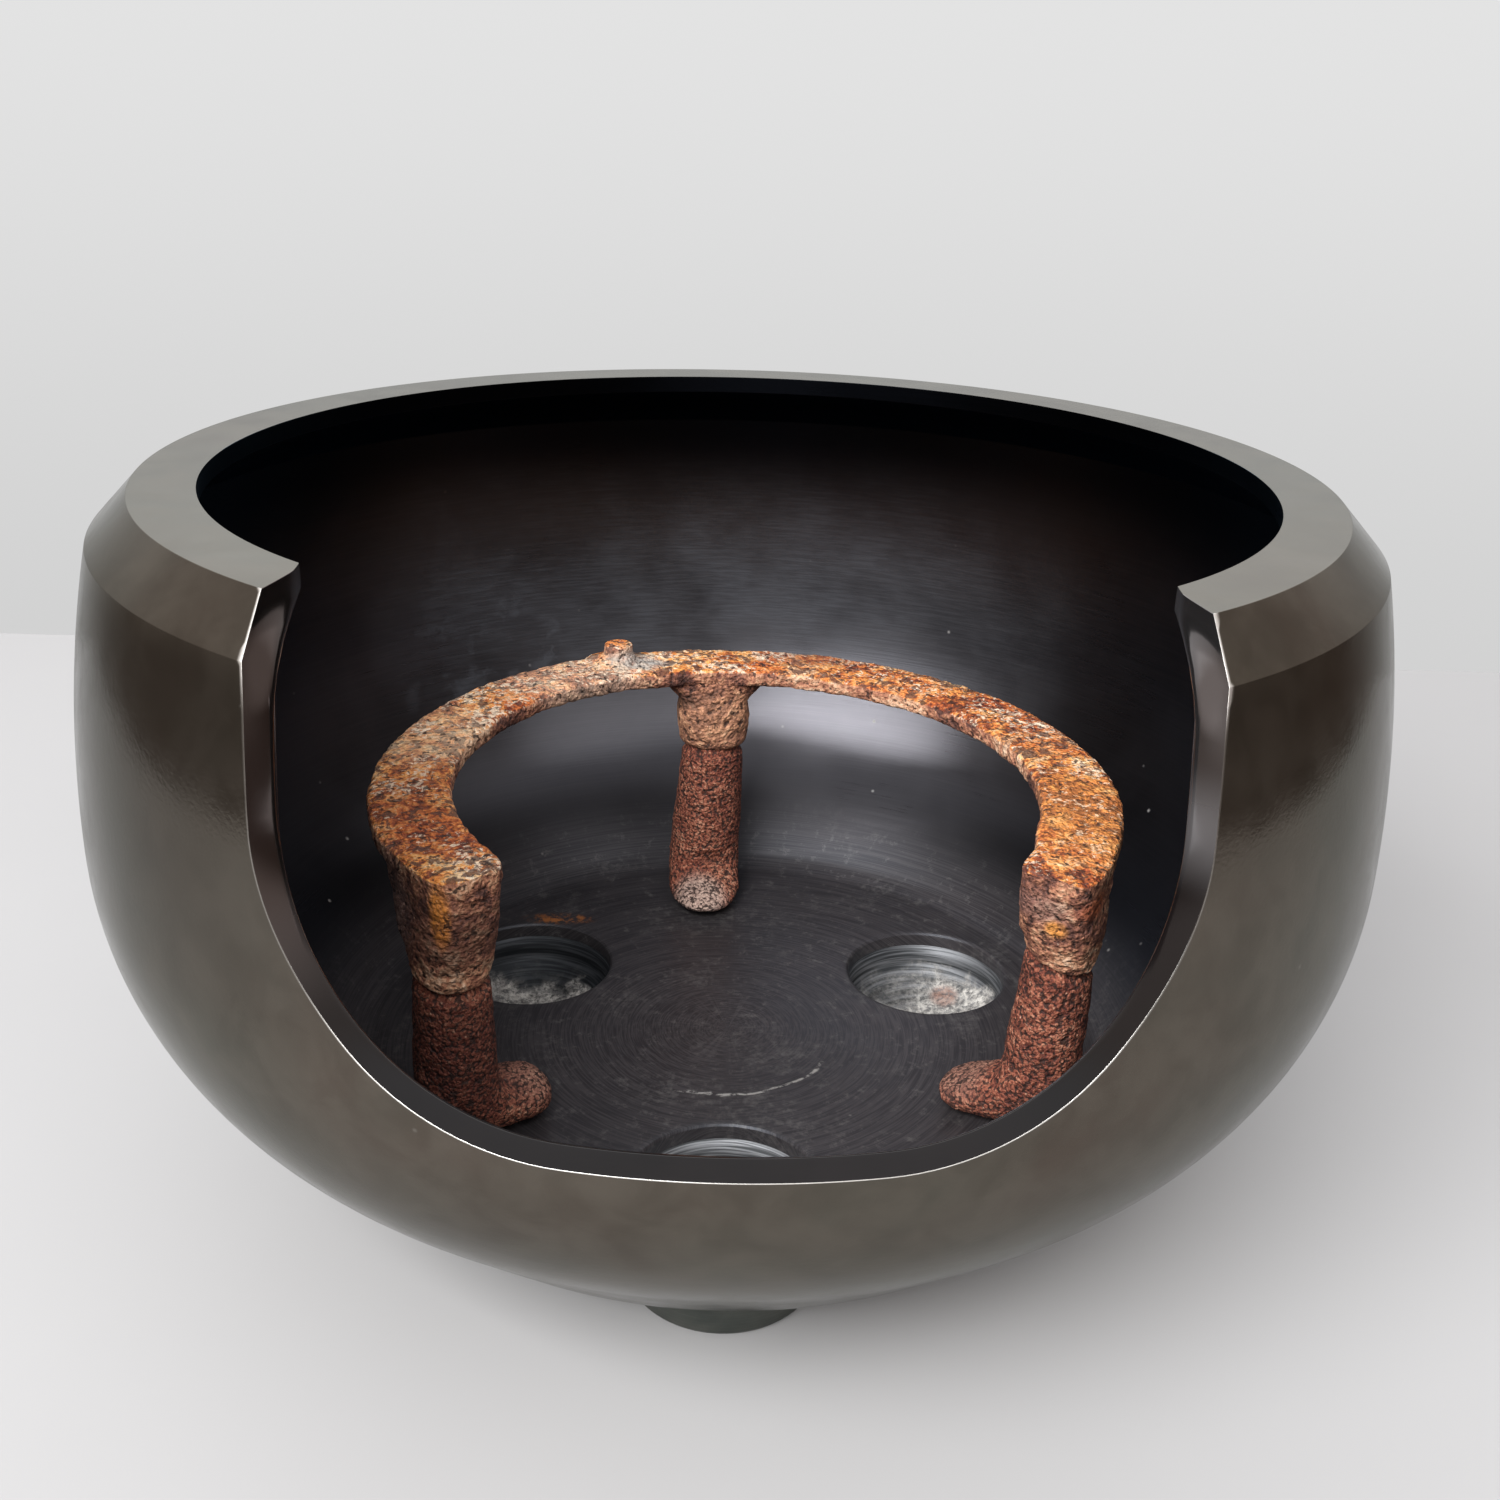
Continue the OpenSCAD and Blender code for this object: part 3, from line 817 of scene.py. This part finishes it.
def bronze_outside():
    """Waxed brown bronze: glossy, clouded brown to olive with darker stains, smoked on the left
    shoulder, with fine pale dust, and bare metal along the worn edges."""
    material, t, shader, place = new_material("bronze_outside")
    large = t.use(MOTTLE, Vector=place, Per_metre=14.0)["Tone"]
    small = t.use(MOTTLE, Vector=place, Per_metre=75.0, Shift=3.0)["Tone"]
    stain = t.use(MOTTLE, Vector=place, Per_metre=34.0, Shift=6.0)["Tone"]
    fine = t.noise(place, 900.0)
    colour = t.mix(large, (0.1, 0.077, 0.062), (0.1, 0.092, 0.075))
    colour = t.mix(t.times(stain, 0.45), colour, (0.066, 0.056, 0.044))
    colour = t.mix(t.times(small, 0.55), colour, (0.14, 0.122, 0.1))
    dust = t.use(SPECKS, Vector=place, Per_metre=120.0, Share=0.05, Size=0.12)["Mask"]
    colour = t.mix(t.times(dust, 0.5), colour, (0.5, 0.48, 0.44))
    x, _, z = t.parts(place)
    smoked = t.times(t.step(z, 0.09, 0.14), t.step(z, 0.188, 0.18), t.step(x, -0.04, -0.13))
    colour = t.mix(t.times(smoked, 0.6), colour, (0.042, 0.034, 0.028))
    bare = t.use(EDGE, Vector=place, Wear=attribute(t, "wear"), Starts=0.7, Full=0.93)["Bare"]
    t.put(shader["Base Color"], t.mix(bare, colour, BARE_BRONZE))
    t.put(shader["Metallic"], 0.85)
    t.put(shader["Specular Tint"], (0.7, 0.713, 0.7))
    gloss = t.plus(t.spread(small, 0.1, 0.17), t.times(stain, 0.05), t.times(bare, 0.2))
    t.put(shader["Roughness"], t.plus(gloss, t.times(fine, 0.03)))
    t.bump(shader, t.plus(t.times(t.noise(place, 22.0, 2.0), 6.0), fine), 0.06, 0.0004)
    return material


def bronze_cut():
    """The cut face: metal up the sides whose pale colour is a painted sheen, brighter on the right, and sooty
    black on the sill, with bare metal along its outer edge."""
    material, t, shader, place = new_material("bronze_cut")
    tone = t.use(MOTTLE, Vector=place, Per_metre=18.0)["Tone"]
    x, _, z = t.parts(place)
    on_right = t.step(x, -0.01, 0.01)
    # Painted sheen: a pale metal colour up the sides, starting lower on the right
    painted_sheen = t.step(t.less(z, t.times(on_right, 0.025)), 0.12, 0.147)
    soot_and_painted_shade = t.mix(tone, (0.004, 0.0032, 0.0032), (0.008, 0.0062, 0.0062))
    # Colour of the painted sheen, brighter on the right
    face = t.mix(on_right, (0.125, 0.104, 0.099), (0.25, 0.238, 0.243))
    bare = t.use(EDGE, Vector=place, Wear=attribute(t, "wear"), Starts=0.86, Full=0.98)["Bare"]
    t.put(shader["Base Color"], t.mix(bare, t.mix(painted_sheen, soot_and_painted_shade, face), BARE_BRONZE))
    t.put(shader["Metallic"], t.most(bare, t.times(painted_sheen, 0.95)))
    t.put(shader["Roughness"], t.plus(t.spread(tone, 0.1, 0.16), t.times(bare, 0.2)))
    t.bump(shader, t.noise(place, 40.0), 0.06, 0.0005)
    return material


def inside_metal(t, place, tone, lines):
    """Turned metal: lighter along the marks, with painted shade: darker at the heel, black up under the rim,
    and darker low on the right."""
    x, _, z = t.parts(place)
    metal = t.mix(tone, (0.09, 0.088, 0.098), (0.115, 0.113, 0.125))
    metal = t.mix(t.times(t.step(lines, 0.35, 0.75), 0.4), metal, (0.135, 0.132, 0.144))
    # Painted shade: darker low on the wall, at the heel
    metal = t.mix(t.step(z, 0.062, 0.042), metal, (0.05, 0.049, 0.054))
    # Painted shade: near black up under the rim
    metal = t.mix(t.step(z, 0.11, 0.175), metal, (0.0075, 0.0088, 0.012))
    # Painted shade: darker low on the right
    soot_and_painted_shade = t.times(t.step(x, 0.03, 0.1), t.step(z, 0.12, 0.085), 0.4)
    return t.mix(soot_and_painted_shade, metal, (0.04, 0.039, 0.043))


def floor_film(t, radius, way, lines):
    """Brown film on the floor, lighter along the marks, with pale rays at the turning centre painted as a
    highlight.
    """
    film = t.mix(t.step(lines, 0.36, 0.64), (0.034, 0.029, 0.031), (0.068, 0.06, 0.062))
    rays = t.step(t.noise(way, 13.0, 2.0, 0.6), 0.5, 0.66)
    # Painted highlight: pale rays at the turning centre
    painted_star_highlight = t.times(rays, t.step(radius, 0.028, 0.004), 0.25)
    return t.mix(painted_star_highlight, film, (0.15, 0.135, 0.135))


def painted_wall_reflection(t, place, cloud):
    """Mask of the grey reflection painted on the back wall, in streaks along the turning marks, with a
    painted patch of reflection at the left."""
    x, y, z = t.parts(place)
    painted_reflection = t.times(t.step(z, 0.07, 0.1), t.step(z, 0.172, 0.12), t.step(y, -0.06, 0.1),
                   t.step(x, 0.15, 0.0), t.step(x, -0.145, -0.09))
    dashes = t.use(TURNING, Per_metre=1500.0, Breaks=14.0)["Lines"]
    streak = t.plus(t.times(t.step(dashes, 0.38, 0.68), 0.4), 0.6)
    painted_reflection = t.times(painted_reflection, streak, t.plus(t.times(cloud, 0.35), 0.3))
    painted_left_reflection = t.times(t.spot(place, (-0.085, 0.132, 0.098), (0.05, 0.06, 0.032)),
                    t.step(t.noise(place, 70.0, 5.0, 0.7), 0.4, 0.68))
    return t.most(painted_reflection, t.times(painted_left_reflection, streak))


def pale_marks(t, place, radius, way, on_floor, cloud, fine):
    """Mask of the pale marks: smudges and scuffs on the floor, specks of ash, and a scratch along an arc
    at the front."""
    smudge = t.times(t.step(cloud, 0.5, 1.0), t.step(fine, 0.45, 0.7), on_floor, 0.12)
    scuff = t.times(t.step(t.noise(place, 240.0, 5.0, 0.78), 0.54, 0.7), on_floor, 0.12)
    ash = t.use(SPECKS, Vector=place, Per_metre=120.0, Share=0.13, Size=0.11)["Mask"]
    ash = t.times(ash, t.step(t.parts(place)[2], 0.18, 0.03))
    ahead = t.vector("DOT_PRODUCT", way, (0.292, -0.956, 0.0))
    sideways = t.vector("DOT_PRODUCT", way, (0.956, 0.292, 0.0))
    wobble = t.times(t.less(t.noise(place, 130.0, 2.0), 0.5), 0.004)
    off = t.plus(t.less(radius, 0.0334), t.times(sideways, 0.00216), wobble)
    scratch = t.times(t.step(t.math("ABSOLUTE", off), 0.0008, 0.0002), t.step(ahead, 0.7, 0.8),
                      on_floor, t.step(fine, 0.4, 0.58), 0.75)
    return t.most(smudge, ash, scuff, scratch)


def bronze_inside():
    """The turned inside: black metal with fine marks and painted shade, a painted grey reflection on the back
    wall, a thin brown film on the floor with a rust smear and a painted highlight, and pale marks. Its shine
    is drawn out round the axis."""
    material, t, shader, place = new_material("bronze_inside")
    lines, bands = (t.use(TURNING, Per_metre=2000.0, Breaks=4.0)[n] for n in ("Lines", "Bands"))
    x, y, z = t.parts(place)
    flat = t.join(X=x, Y=y)
    radius, way = t.vector("LENGTH", flat), t.vector("NORMALIZE", flat)
    on_floor = t.step(z, 0.05, 0.028)
    tone = t.use(MOTTLE, Vector=place, Per_metre=22.0, Shift=5.0)["Tone"]
    cloud = t.use(MOTTLE, Vector=place, Per_metre=38.0, Shift=9.0)["Tone"]
    fine = t.noise(place, 420.0, 4.0, 0.65)
    cover = t.times(on_floor, t.spread(tone, 0.75, 0.95))
    painted_reflection = painted_wall_reflection(t, place, cloud)
    pale = pale_marks(t, place, radius, way, on_floor, cloud, fine)
    smear = t.spot(place, (-0.057, 0.0645, 0.028), (0.014, 0.0045, 0.006))
    smear = t.times(smear, t.step(fine, 0.42, 0.6))
    colour = t.mix(cover, inside_metal(t, place, tone, lines), floor_film(t, radius, way, lines))
    # Painted reflection: grey, not metal, on the back wall
    colour = t.mix(painted_reflection, colour, (0.076, 0.08, 0.092))
    colour = t.mix(pale, colour, (0.5, 0.48, 0.45))
    t.put(shader["Base Color"], t.mix(smear, colour, (0.36, 0.13, 0.04)))
    t.put(shader["Metallic"], t.less(1.0, t.most(t.times(cover, 0.85), pale, painted_reflection, smear)))
    dull = t.plus(t.spread(tone, 0.25, 0.3), t.times(lines, 0.06), t.times(on_floor, 0.1), t.times(pale, 0.4))
    t.put(shader["Roughness"], t.math("MINIMUM", dull, 0.85))
    t.bump(shader, t.plus(lines, t.times(bands, 1.2)), 0.04, 0.0004)
    around = t.add("ShaderNodeVectorTransform", {0: t.join(X=t.times(y, -1.0), Y=x)}, vector_type="VECTOR",
                   convert_from="OBJECT", convert_to="WORLD").outputs[0]
    t.put(shader["Tangent"], t.vector("NORMALIZE", around))
    t.put(shader["Specular Tint"], (0.72, 0.86, 1.0))
    t.put(shader["Anisotropic"], 0.3)
    t.put(shader["Anisotropic Rotation"], 0.25)
    return material


def bronze_foot():
    """The feet: green-black outside; inside, dark turned metal, with painted light making it lighter at the
    front and right, with pale ash lying in the bottom, swept thin in the rear wells."""
    material, t, shader, place = new_material("bronze_foot")
    inside = t.step(attribute(t, "wear"), 0.2, 0.8)
    tone = t.use(MOTTLE, Vector=place, Per_metre=60.0)["Tone"]
    cloud = t.use(MOTTLE, Vector=place, Per_metre=150.0, Shift=4.0)["Tone"]
    fine = t.noise(place, 700.0, 5.0, 0.7)
    x, y, z = t.parts(place)
    level = t.join(X=t.times(x, 45.0), Y=t.times(y, 45.0), Z=t.times(z, 1300.0))
    marks = t.step(t.noise(level, 1.0, 2.0, 0.6), 0.35, 0.68)
    cup = t.mix(marks, (0.02, 0.023, 0.027), (0.075, 0.081, 0.09))
    # Painted light: lighter metal in the front well and, less, in the right one
    painted_lit_wells = t.most(t.times(t.step(x, 0.0, 0.05), 0.45), t.step(y, 0.0, -0.03))
    cup = t.mix(painted_lit_wells, cup, t.mix(marks, (0.09, 0.095, 0.1), (0.42, 0.43, 0.45)))
    colour = t.mix(inside, t.mix(tone, (0.05, 0.058, 0.052), (0.085, 0.09, 0.08)), cup)
    lie = t.plus(t.less(z, t.times(x, 0.02)), t.times(t.less(cloud, 0.5), 0.005))
    ash = t.times(t.step(lie, 0.0155, 0.01), inside, t.plus(t.times(t.step(fine, 0.36, 0.56), 0.75), 0.25))
    swept = t.times(t.step(t.plus(y, t.times(cloud, 0.004)), 0.05, 0.055), t.step(x, 0.0, -0.02))
    swept = t.most(swept, t.times(t.spot(place, (0.05, 0.055, 0.012), (0.02, 0.016, 0.02)), 0.8))
    ash = t.times(ash, t.less(1.0, t.times(swept, 0.92)))
    lumps = t.step(t.noise(place, 300.0, 5.0, 0.7), 0.34, 0.66)
    grey = t.mix(lumps, (0.26, 0.245, 0.23), (0.74, 0.71, 0.66))
    rust = t.times(t.spot(place, (0.071, 0.05, 0.01), (0.006, 0.006, 0.004)), 0.6)
    t.put(shader["Base Color"], t.mix(ash, colour, t.mix(rust, grey, (0.3, 0.11, 0.06))))
    t.put(shader["Metallic"], t.spread(ash, 0.6, 0.0))
    t.put(shader["Roughness"], t.spread(ash, 0.55, 0.9))
    t.bump(shader, t.plus(t.times(fine, t.plus(ash, 0.1)), t.times(marks, 0.15)), 0.5, 0.0006)
    return material


def rusted_iron(name, sides, tops, stains_and_painted_light, per_metre, grit, patch, beaded):
    """Heavily rusted iron: sides in patches with black pits and fine beads and, where a face looks
    up, flaking orange with pale flecks and dark scabs; then ovals of another colour, stain colours and on a
    few painted shade and painted light; then glints on some of the beads, glossier and painted pale as
    highlight."""
    material, t, shader, place = new_material(name)
    pit = attribute(t, "pit")
    rust = t.use(GRAIN, Vector=place, Per_metre=per_metre, Grit=grit, Patch=patch, Pit=pit)
    colour = t.ramp(rust["Tone"], sides)
    if tops:
        top = t.ramp(rust["Tone"], tops)
        redder = t.times(t.step(t.noise(place, 38.0, 3.0, 0.6), 0.44, 0.6), 0.65)
        top = t.mix(redder, top, t.mix(1.0, top, (0.8, 0.54, 0.5), "MULTIPLY"))
        top = t.mix(t.times(rust["Flecks"], 0.85), top, (0.97, 0.79, 0.6))
        top = t.mix(t.times(rust["Scabs"], 0.85), top, (0.1, 0.042, 0.03))
        colour = t.mix(t.step(attribute(t, "up"), 0.3, 0.75), colour, top)
    patchy = t.plus(t.times(t.step(rust["Tone"], 0.38, 0.56), 0.5), 0.5)
    # Each oval mixes in its colour, a stain colour except where the tables note painted shade and painted
    # light
    for centre, size, stain, strength in stains_and_painted_light:
        colour = t.mix(t.times(t.spot(place, centre, size), t.times(patchy, strength)), colour, stain)
    # Glints: glossier specks, with a pale colour painted on them as highlight
    glint_with_painted_highlight = t.use(SPECKS, Vector=place, Per_metre=700.0, Share=0.14, Size=0.32)["Mask"]
    colour = t.mix(t.times(glint_with_painted_highlight, 0.55), colour, (0.85, 0.56, 0.38))
    dark = t.most(t.times(rust["Gaps"], beaded), t.times(rust["Pits"], 0.85))
    t.put(shader["Base Color"], t.mix(dark, colour, (0.02, 0.008, 0.006)))
    t.put(shader["Roughness"], t.spread(glint_with_painted_highlight, 0.75, 0.25))
    t.bump(shader, rust["Height"], 1.0, 0.0013)
    return material


# Colours of the rust from its darkest tone to its palest
TOP_RUST = ((0.34, (0.12, 0.026, 0.012)), (0.42, (0.4, 0.095, 0.026)), (0.5, (0.82, 0.275, 0.058)),
            (0.57, (0.96, 0.45, 0.135)), (0.67, (0.98, 0.67, 0.38)))
SOCKET_RUST = ((0.34, (0.1, 0.04, 0.03)), (0.43, (0.27, 0.105, 0.066)), (0.51, (0.5, 0.215, 0.122)),
               (0.59, (0.68, 0.37, 0.22)), (0.69, (0.86, 0.58, 0.4)))
SHANK_RUST = ((0.34, (0.06, 0.014, 0.01)), (0.43, (0.16, 0.038, 0.022)), (0.51, (0.28, 0.08, 0.044)),
              (0.59, (0.42, 0.15, 0.085)), (0.69, (0.6, 0.31, 0.2)))
# Each oval: where its middle is, how far it reaches, its colour and its strength. Most are stain colours; the
# rows noted below are painted shade and painted light
RING_STAINS_AND_PAINTED_SHADE = (
    # Painted shade: the left socket, darker where the bowl's left wall shades it
    ((-0.069, -0.057, 0.093), (0.03, 0.026, 0.015), (0.1, 0.042, 0.033), 0.6),
    ((-0.087, -0.056, 0.096), (0.012, 0.02, 0.02), (0.32, 0.25, 0.23), 0.55),
    ((-0.0695, -0.069, 0.1), (0.0036, 0.012, 0.012), (0.78, 0.28, 0.045), 0.95),
    ((0.079, -0.052, 0.1), (0.012, 0.012, 0.007), (0.26, 0.15, 0.13), 0.7),
    ((0.089, -0.056, 0.101), (0.007, 0.01, 0.0045), (0.55, 0.13, 0.04), 0.9),
    ((0.0805, -0.057, 0.0945), (0.0036, 0.009, 0.0034), (0.75, 0.3, 0.06), 0.95),
    ((-0.033, 0.084, 0.112), (0.013, 0.01, 0.006), (0.46, 0.43, 0.4), 0.85),
    ((-0.086, -0.012, 0.111), (0.02, 0.035, 0.012), (0.5, 0.24, 0.14), 0.12),
    ((-0.052, 0.068, 0.111), (0.03, 0.024, 0.012), (0.95, 0.77, 0.58), 0.42),
    ((-0.0077, 0.09, 0.094), (0.018, 0.018, 0.018), (0.84, 0.45, 0.25), 0.55),
    ((0.094, -0.02, 0.111), (0.02, 0.04, 0.012), (0.84, 0.35, 0.08), 0.5),
    ((-0.088, 0.022, 0.111), (0.022, 0.03, 0.012), (0.93, 0.7, 0.48), 0.36),
    ((0.024, 0.097, 0.111), (0.022, 0.014, 0.01), (0.28, 0.11, 0.065), 0.5),
)
LEG_STAINS_PAINTED_SHADE_AND_LIGHT = (
    # Painted shade: the left shank, darker where the bowl's left wall shades it
    ((-0.07, -0.056, 0.055), (0.022, 0.022, 0.032), (0.07, 0.014, 0.01), 0.5),
    # The back toe: paler, partly its own lighter colour and partly painted light where it is lit, with a
    # painted highlight on its top
    ((-0.011, 0.068, 0.034), (0.012, 0.014, 0.012), (0.72, 0.57, 0.48), 0.7),
    ((-0.009, 0.087, 0.042), (0.009, 0.008, 0.008), (0.42, 0.33, 0.19), 0.45),
    ((-0.055, -0.042, 0.036), (0.014, 0.014, 0.008), (0.36, 0.22, 0.17), 0.5),
    ((0.067, -0.034, 0.036), (0.014, 0.014, 0.008), (0.4, 0.26, 0.2), 0.45),
)
OUTSIDE, CUT, INSIDE, FOOT = bronze_outside(), bronze_cut(), bronze_inside(), bronze_foot()
RING_RUST = rusted_iron("rust_ring", SOCKET_RUST, TOP_RUST, RING_STAINS_AND_PAINTED_SHADE,
                        per_metre=800.0, grit=0.4, patch=1.0, beaded=0.25)
LEG_RUST = rusted_iron("rust_leg", SHANK_RUST, None, LEG_STAINS_PAINTED_SHADE_AND_LIGHT,
                       per_metre=1000.0, grit=0.7, patch=0.5, beaded=0.9)


# The pieces

def rust_piece(name, patches, material, node, grain, depth, seed):
    """A rusted piece, with marks for its pits and for how much each point near the top faces up."""
    parts, pit = rusted(weld([(patch, 0, 0.0) for patch in patches]), grain, depth, seed)
    points, quads = parts[:2]
    up = outward(points, quads)[:, 2] * smooth(RING_Z - RING_T, RING_Z - 2.5, points[:, 2])
    make_piece(name, parts, [material], "trivet", node, {"up": up, "pit": pit})


bowl = make_piece("bowl_shell", bowl_mesh(), [OUTSIDE, CUT, INSIDE], "brazier", "bowl")
soften_edges(bowl, 1.0, 20.0)
for foot, turn in zip(("foot_front", "foot_rear_right", "foot_rear_left"), FOOT_TURNS):
    make_piece(foot + "_cup", foot_mesh(turn), [FOOT], "brazier", foot)
ring_patches = [ring_patch()] + [socket_patch(leg) for leg in LEG_TURNS]
rust_piece("ring_bar", ring_patches, RING_RUST, "trivet_ring", 1.0, 0.75, 11)
for leg, seed in zip(LEG_TURNS, (40, 100, 160)):
    rust_piece("leg_" + leg, [leg_patch(leg)], LEG_RUST, "trivet_leg_" + leg, 0.75, 0.5, seed)
rust_piece("peg_pin", [peg_patch()], RING_RUST, "ring_peg", 0.8, 0.45, 300)


# Stage, light and camera

FLOOR_PALE = (0.465, 0.465, 0.47)
FLOOR_LEFT, FLOOR_RIGHT, FLOOR_FRONT, FLOOR_BACK = -0.7, 0.7, -0.9, 0.42
AIM = (0, 0, 0.1)
CAMERA_PLACE = (0.0, -0.40262, 0.28413)
CAMERA_TURN = (0.5858, 22.5514, 1.6920)
FOCAL_PIXELS = 1586.716
PHOTO_PIXELS = 1500.0
SENSOR = 36.0


def link(name, data):
    """An object in the scene for a mesh, a light or a camera."""
    thing = bpy.data.objects.new(name, data)
    bpy.context.scene.collection.objects.link(thing)
    return thing


def pale_floor():
    """The floor: one plain rectangle of a slightly uneven pale grey."""
    material, t, shader, place = new_material("pale_floor")
    shaded = tuple(0.96 * c for c in FLOOR_PALE)
    t.put(shader["Base Color"], t.mix(t.noise(place, 9.0, 4.0), FLOOR_PALE, shaded))
    t.put(shader["Roughness"], 0.6)
    mesh = bpy.data.meshes.new("floor")
    corners = [(FLOOR_LEFT, FLOOR_FRONT, 0), (FLOOR_RIGHT, FLOOR_FRONT, 0),
               (FLOOR_RIGHT, FLOOR_BACK, 0), (FLOOR_LEFT, FLOOR_BACK, 0)]
    mesh.from_pydata(corners, [], [(0, 1, 2, 3)])
    mesh.materials.append(material)
    floor = link("floor", mesh)


def room_light():
    """The room: a pale wall behind, darker towards the front and sides near the horizon, brighter
    above. The camera itself sees the pale wall all round."""
    world = bpy.data.worlds.new("room")
    bpy.context.scene.world = world
    world.use_nodes = True
    world.node_tree.nodes.clear()
    t = Tree(world.node_tree)
    x, y, z = t.parts(t.add("ShaderNodeTexCoord").outputs["Generated"])
    wall = t.mix(t.step(z, -0.34, 0.08), (0.64, 0.64, 0.64), (0.77, 0.77, 0.77))
    behind = t.mix(t.step(z, 0.16, 0.295), wall, (1.8, 1.8, 1.8))
    side = t.mix(t.step(x, -0.6, 0.6), (0.115, 0.08, 0.06), (0.09, 0.055, 0.04))
    before = t.mix(t.step(z, -0.02, 0.3), side, (0.45, 0.39, 0.36))
    shade = t.mix(t.step(y, 0.35, 0.95), before, behind)
    shade = t.mix(t.step(z, 0.55, 0.85), shade, (0.62, 0.62, 0.64))
    seen = t.add("ShaderNodeLightPath").outputs["Is Camera Ray"]
    back = t.add("ShaderNodeBackground", {"Color": t.mix(seen, shade, wall), "Strength": 1.0})
    t.add("ShaderNodeOutputWorld", {"Surface": back.outputs[0]})


def softbox(name, place, width, height, power):
    """A rectangular soft light that faces the object."""
    light = bpy.data.lights.new(name, "AREA")
    light.shape = "RECTANGLE"
    light.size, light.size_y, light.energy = width, height, power
    lamp = link(name, light)
    lamp.location = place
    lamp.rotation_mode = "QUATERNION"
    lamp.rotation_quaternion = (Vector(AIM) - Vector(place)).to_track_quat("-Z", "Y")


def photo_camera():
    """The camera fitted to the rim's circles: turned right by the yaw, down by the pitch, then rolled."""
    yaw, pitch, roll = np.radians(CAMERA_TURN)
    forward = np.array([np.sin(yaw) * np.cos(pitch), np.cos(yaw) * np.cos(pitch), -np.sin(pitch)])
    level = np.array([np.cos(yaw), -np.sin(yaw), 0.0])
    upright = np.cross(level, forward)
    right = np.cos(roll) * level + np.sin(roll) * upright
    up = -np.sin(roll) * level + np.cos(roll) * upright
    lens = bpy.data.cameras.new("camera")
    lens.sensor_width = SENSOR
    lens.lens = SENSOR * FOCAL_PIXELS / PHOTO_PIXELS
    lens.clip_start = 0.01
    camera = link("camera", lens)
    turn = Matrix(np.stack([right, up, -forward], 1).tolist()).to_4x4()
    camera.matrix_world = Matrix.Translation(CAMERA_PLACE) @ turn
    bpy.context.scene.camera = camera


pale_floor()
room_light()
softbox("left_window", (-1.0, -1.58, 1.64), 1.9, 1.2, 100.0)
softbox("right_window", (0.95, -1.6, 1.9), 2.2, 1.2, 15.0)
photo_camera()
bpy.context.scene.view_settings.view_transform = "Standard"
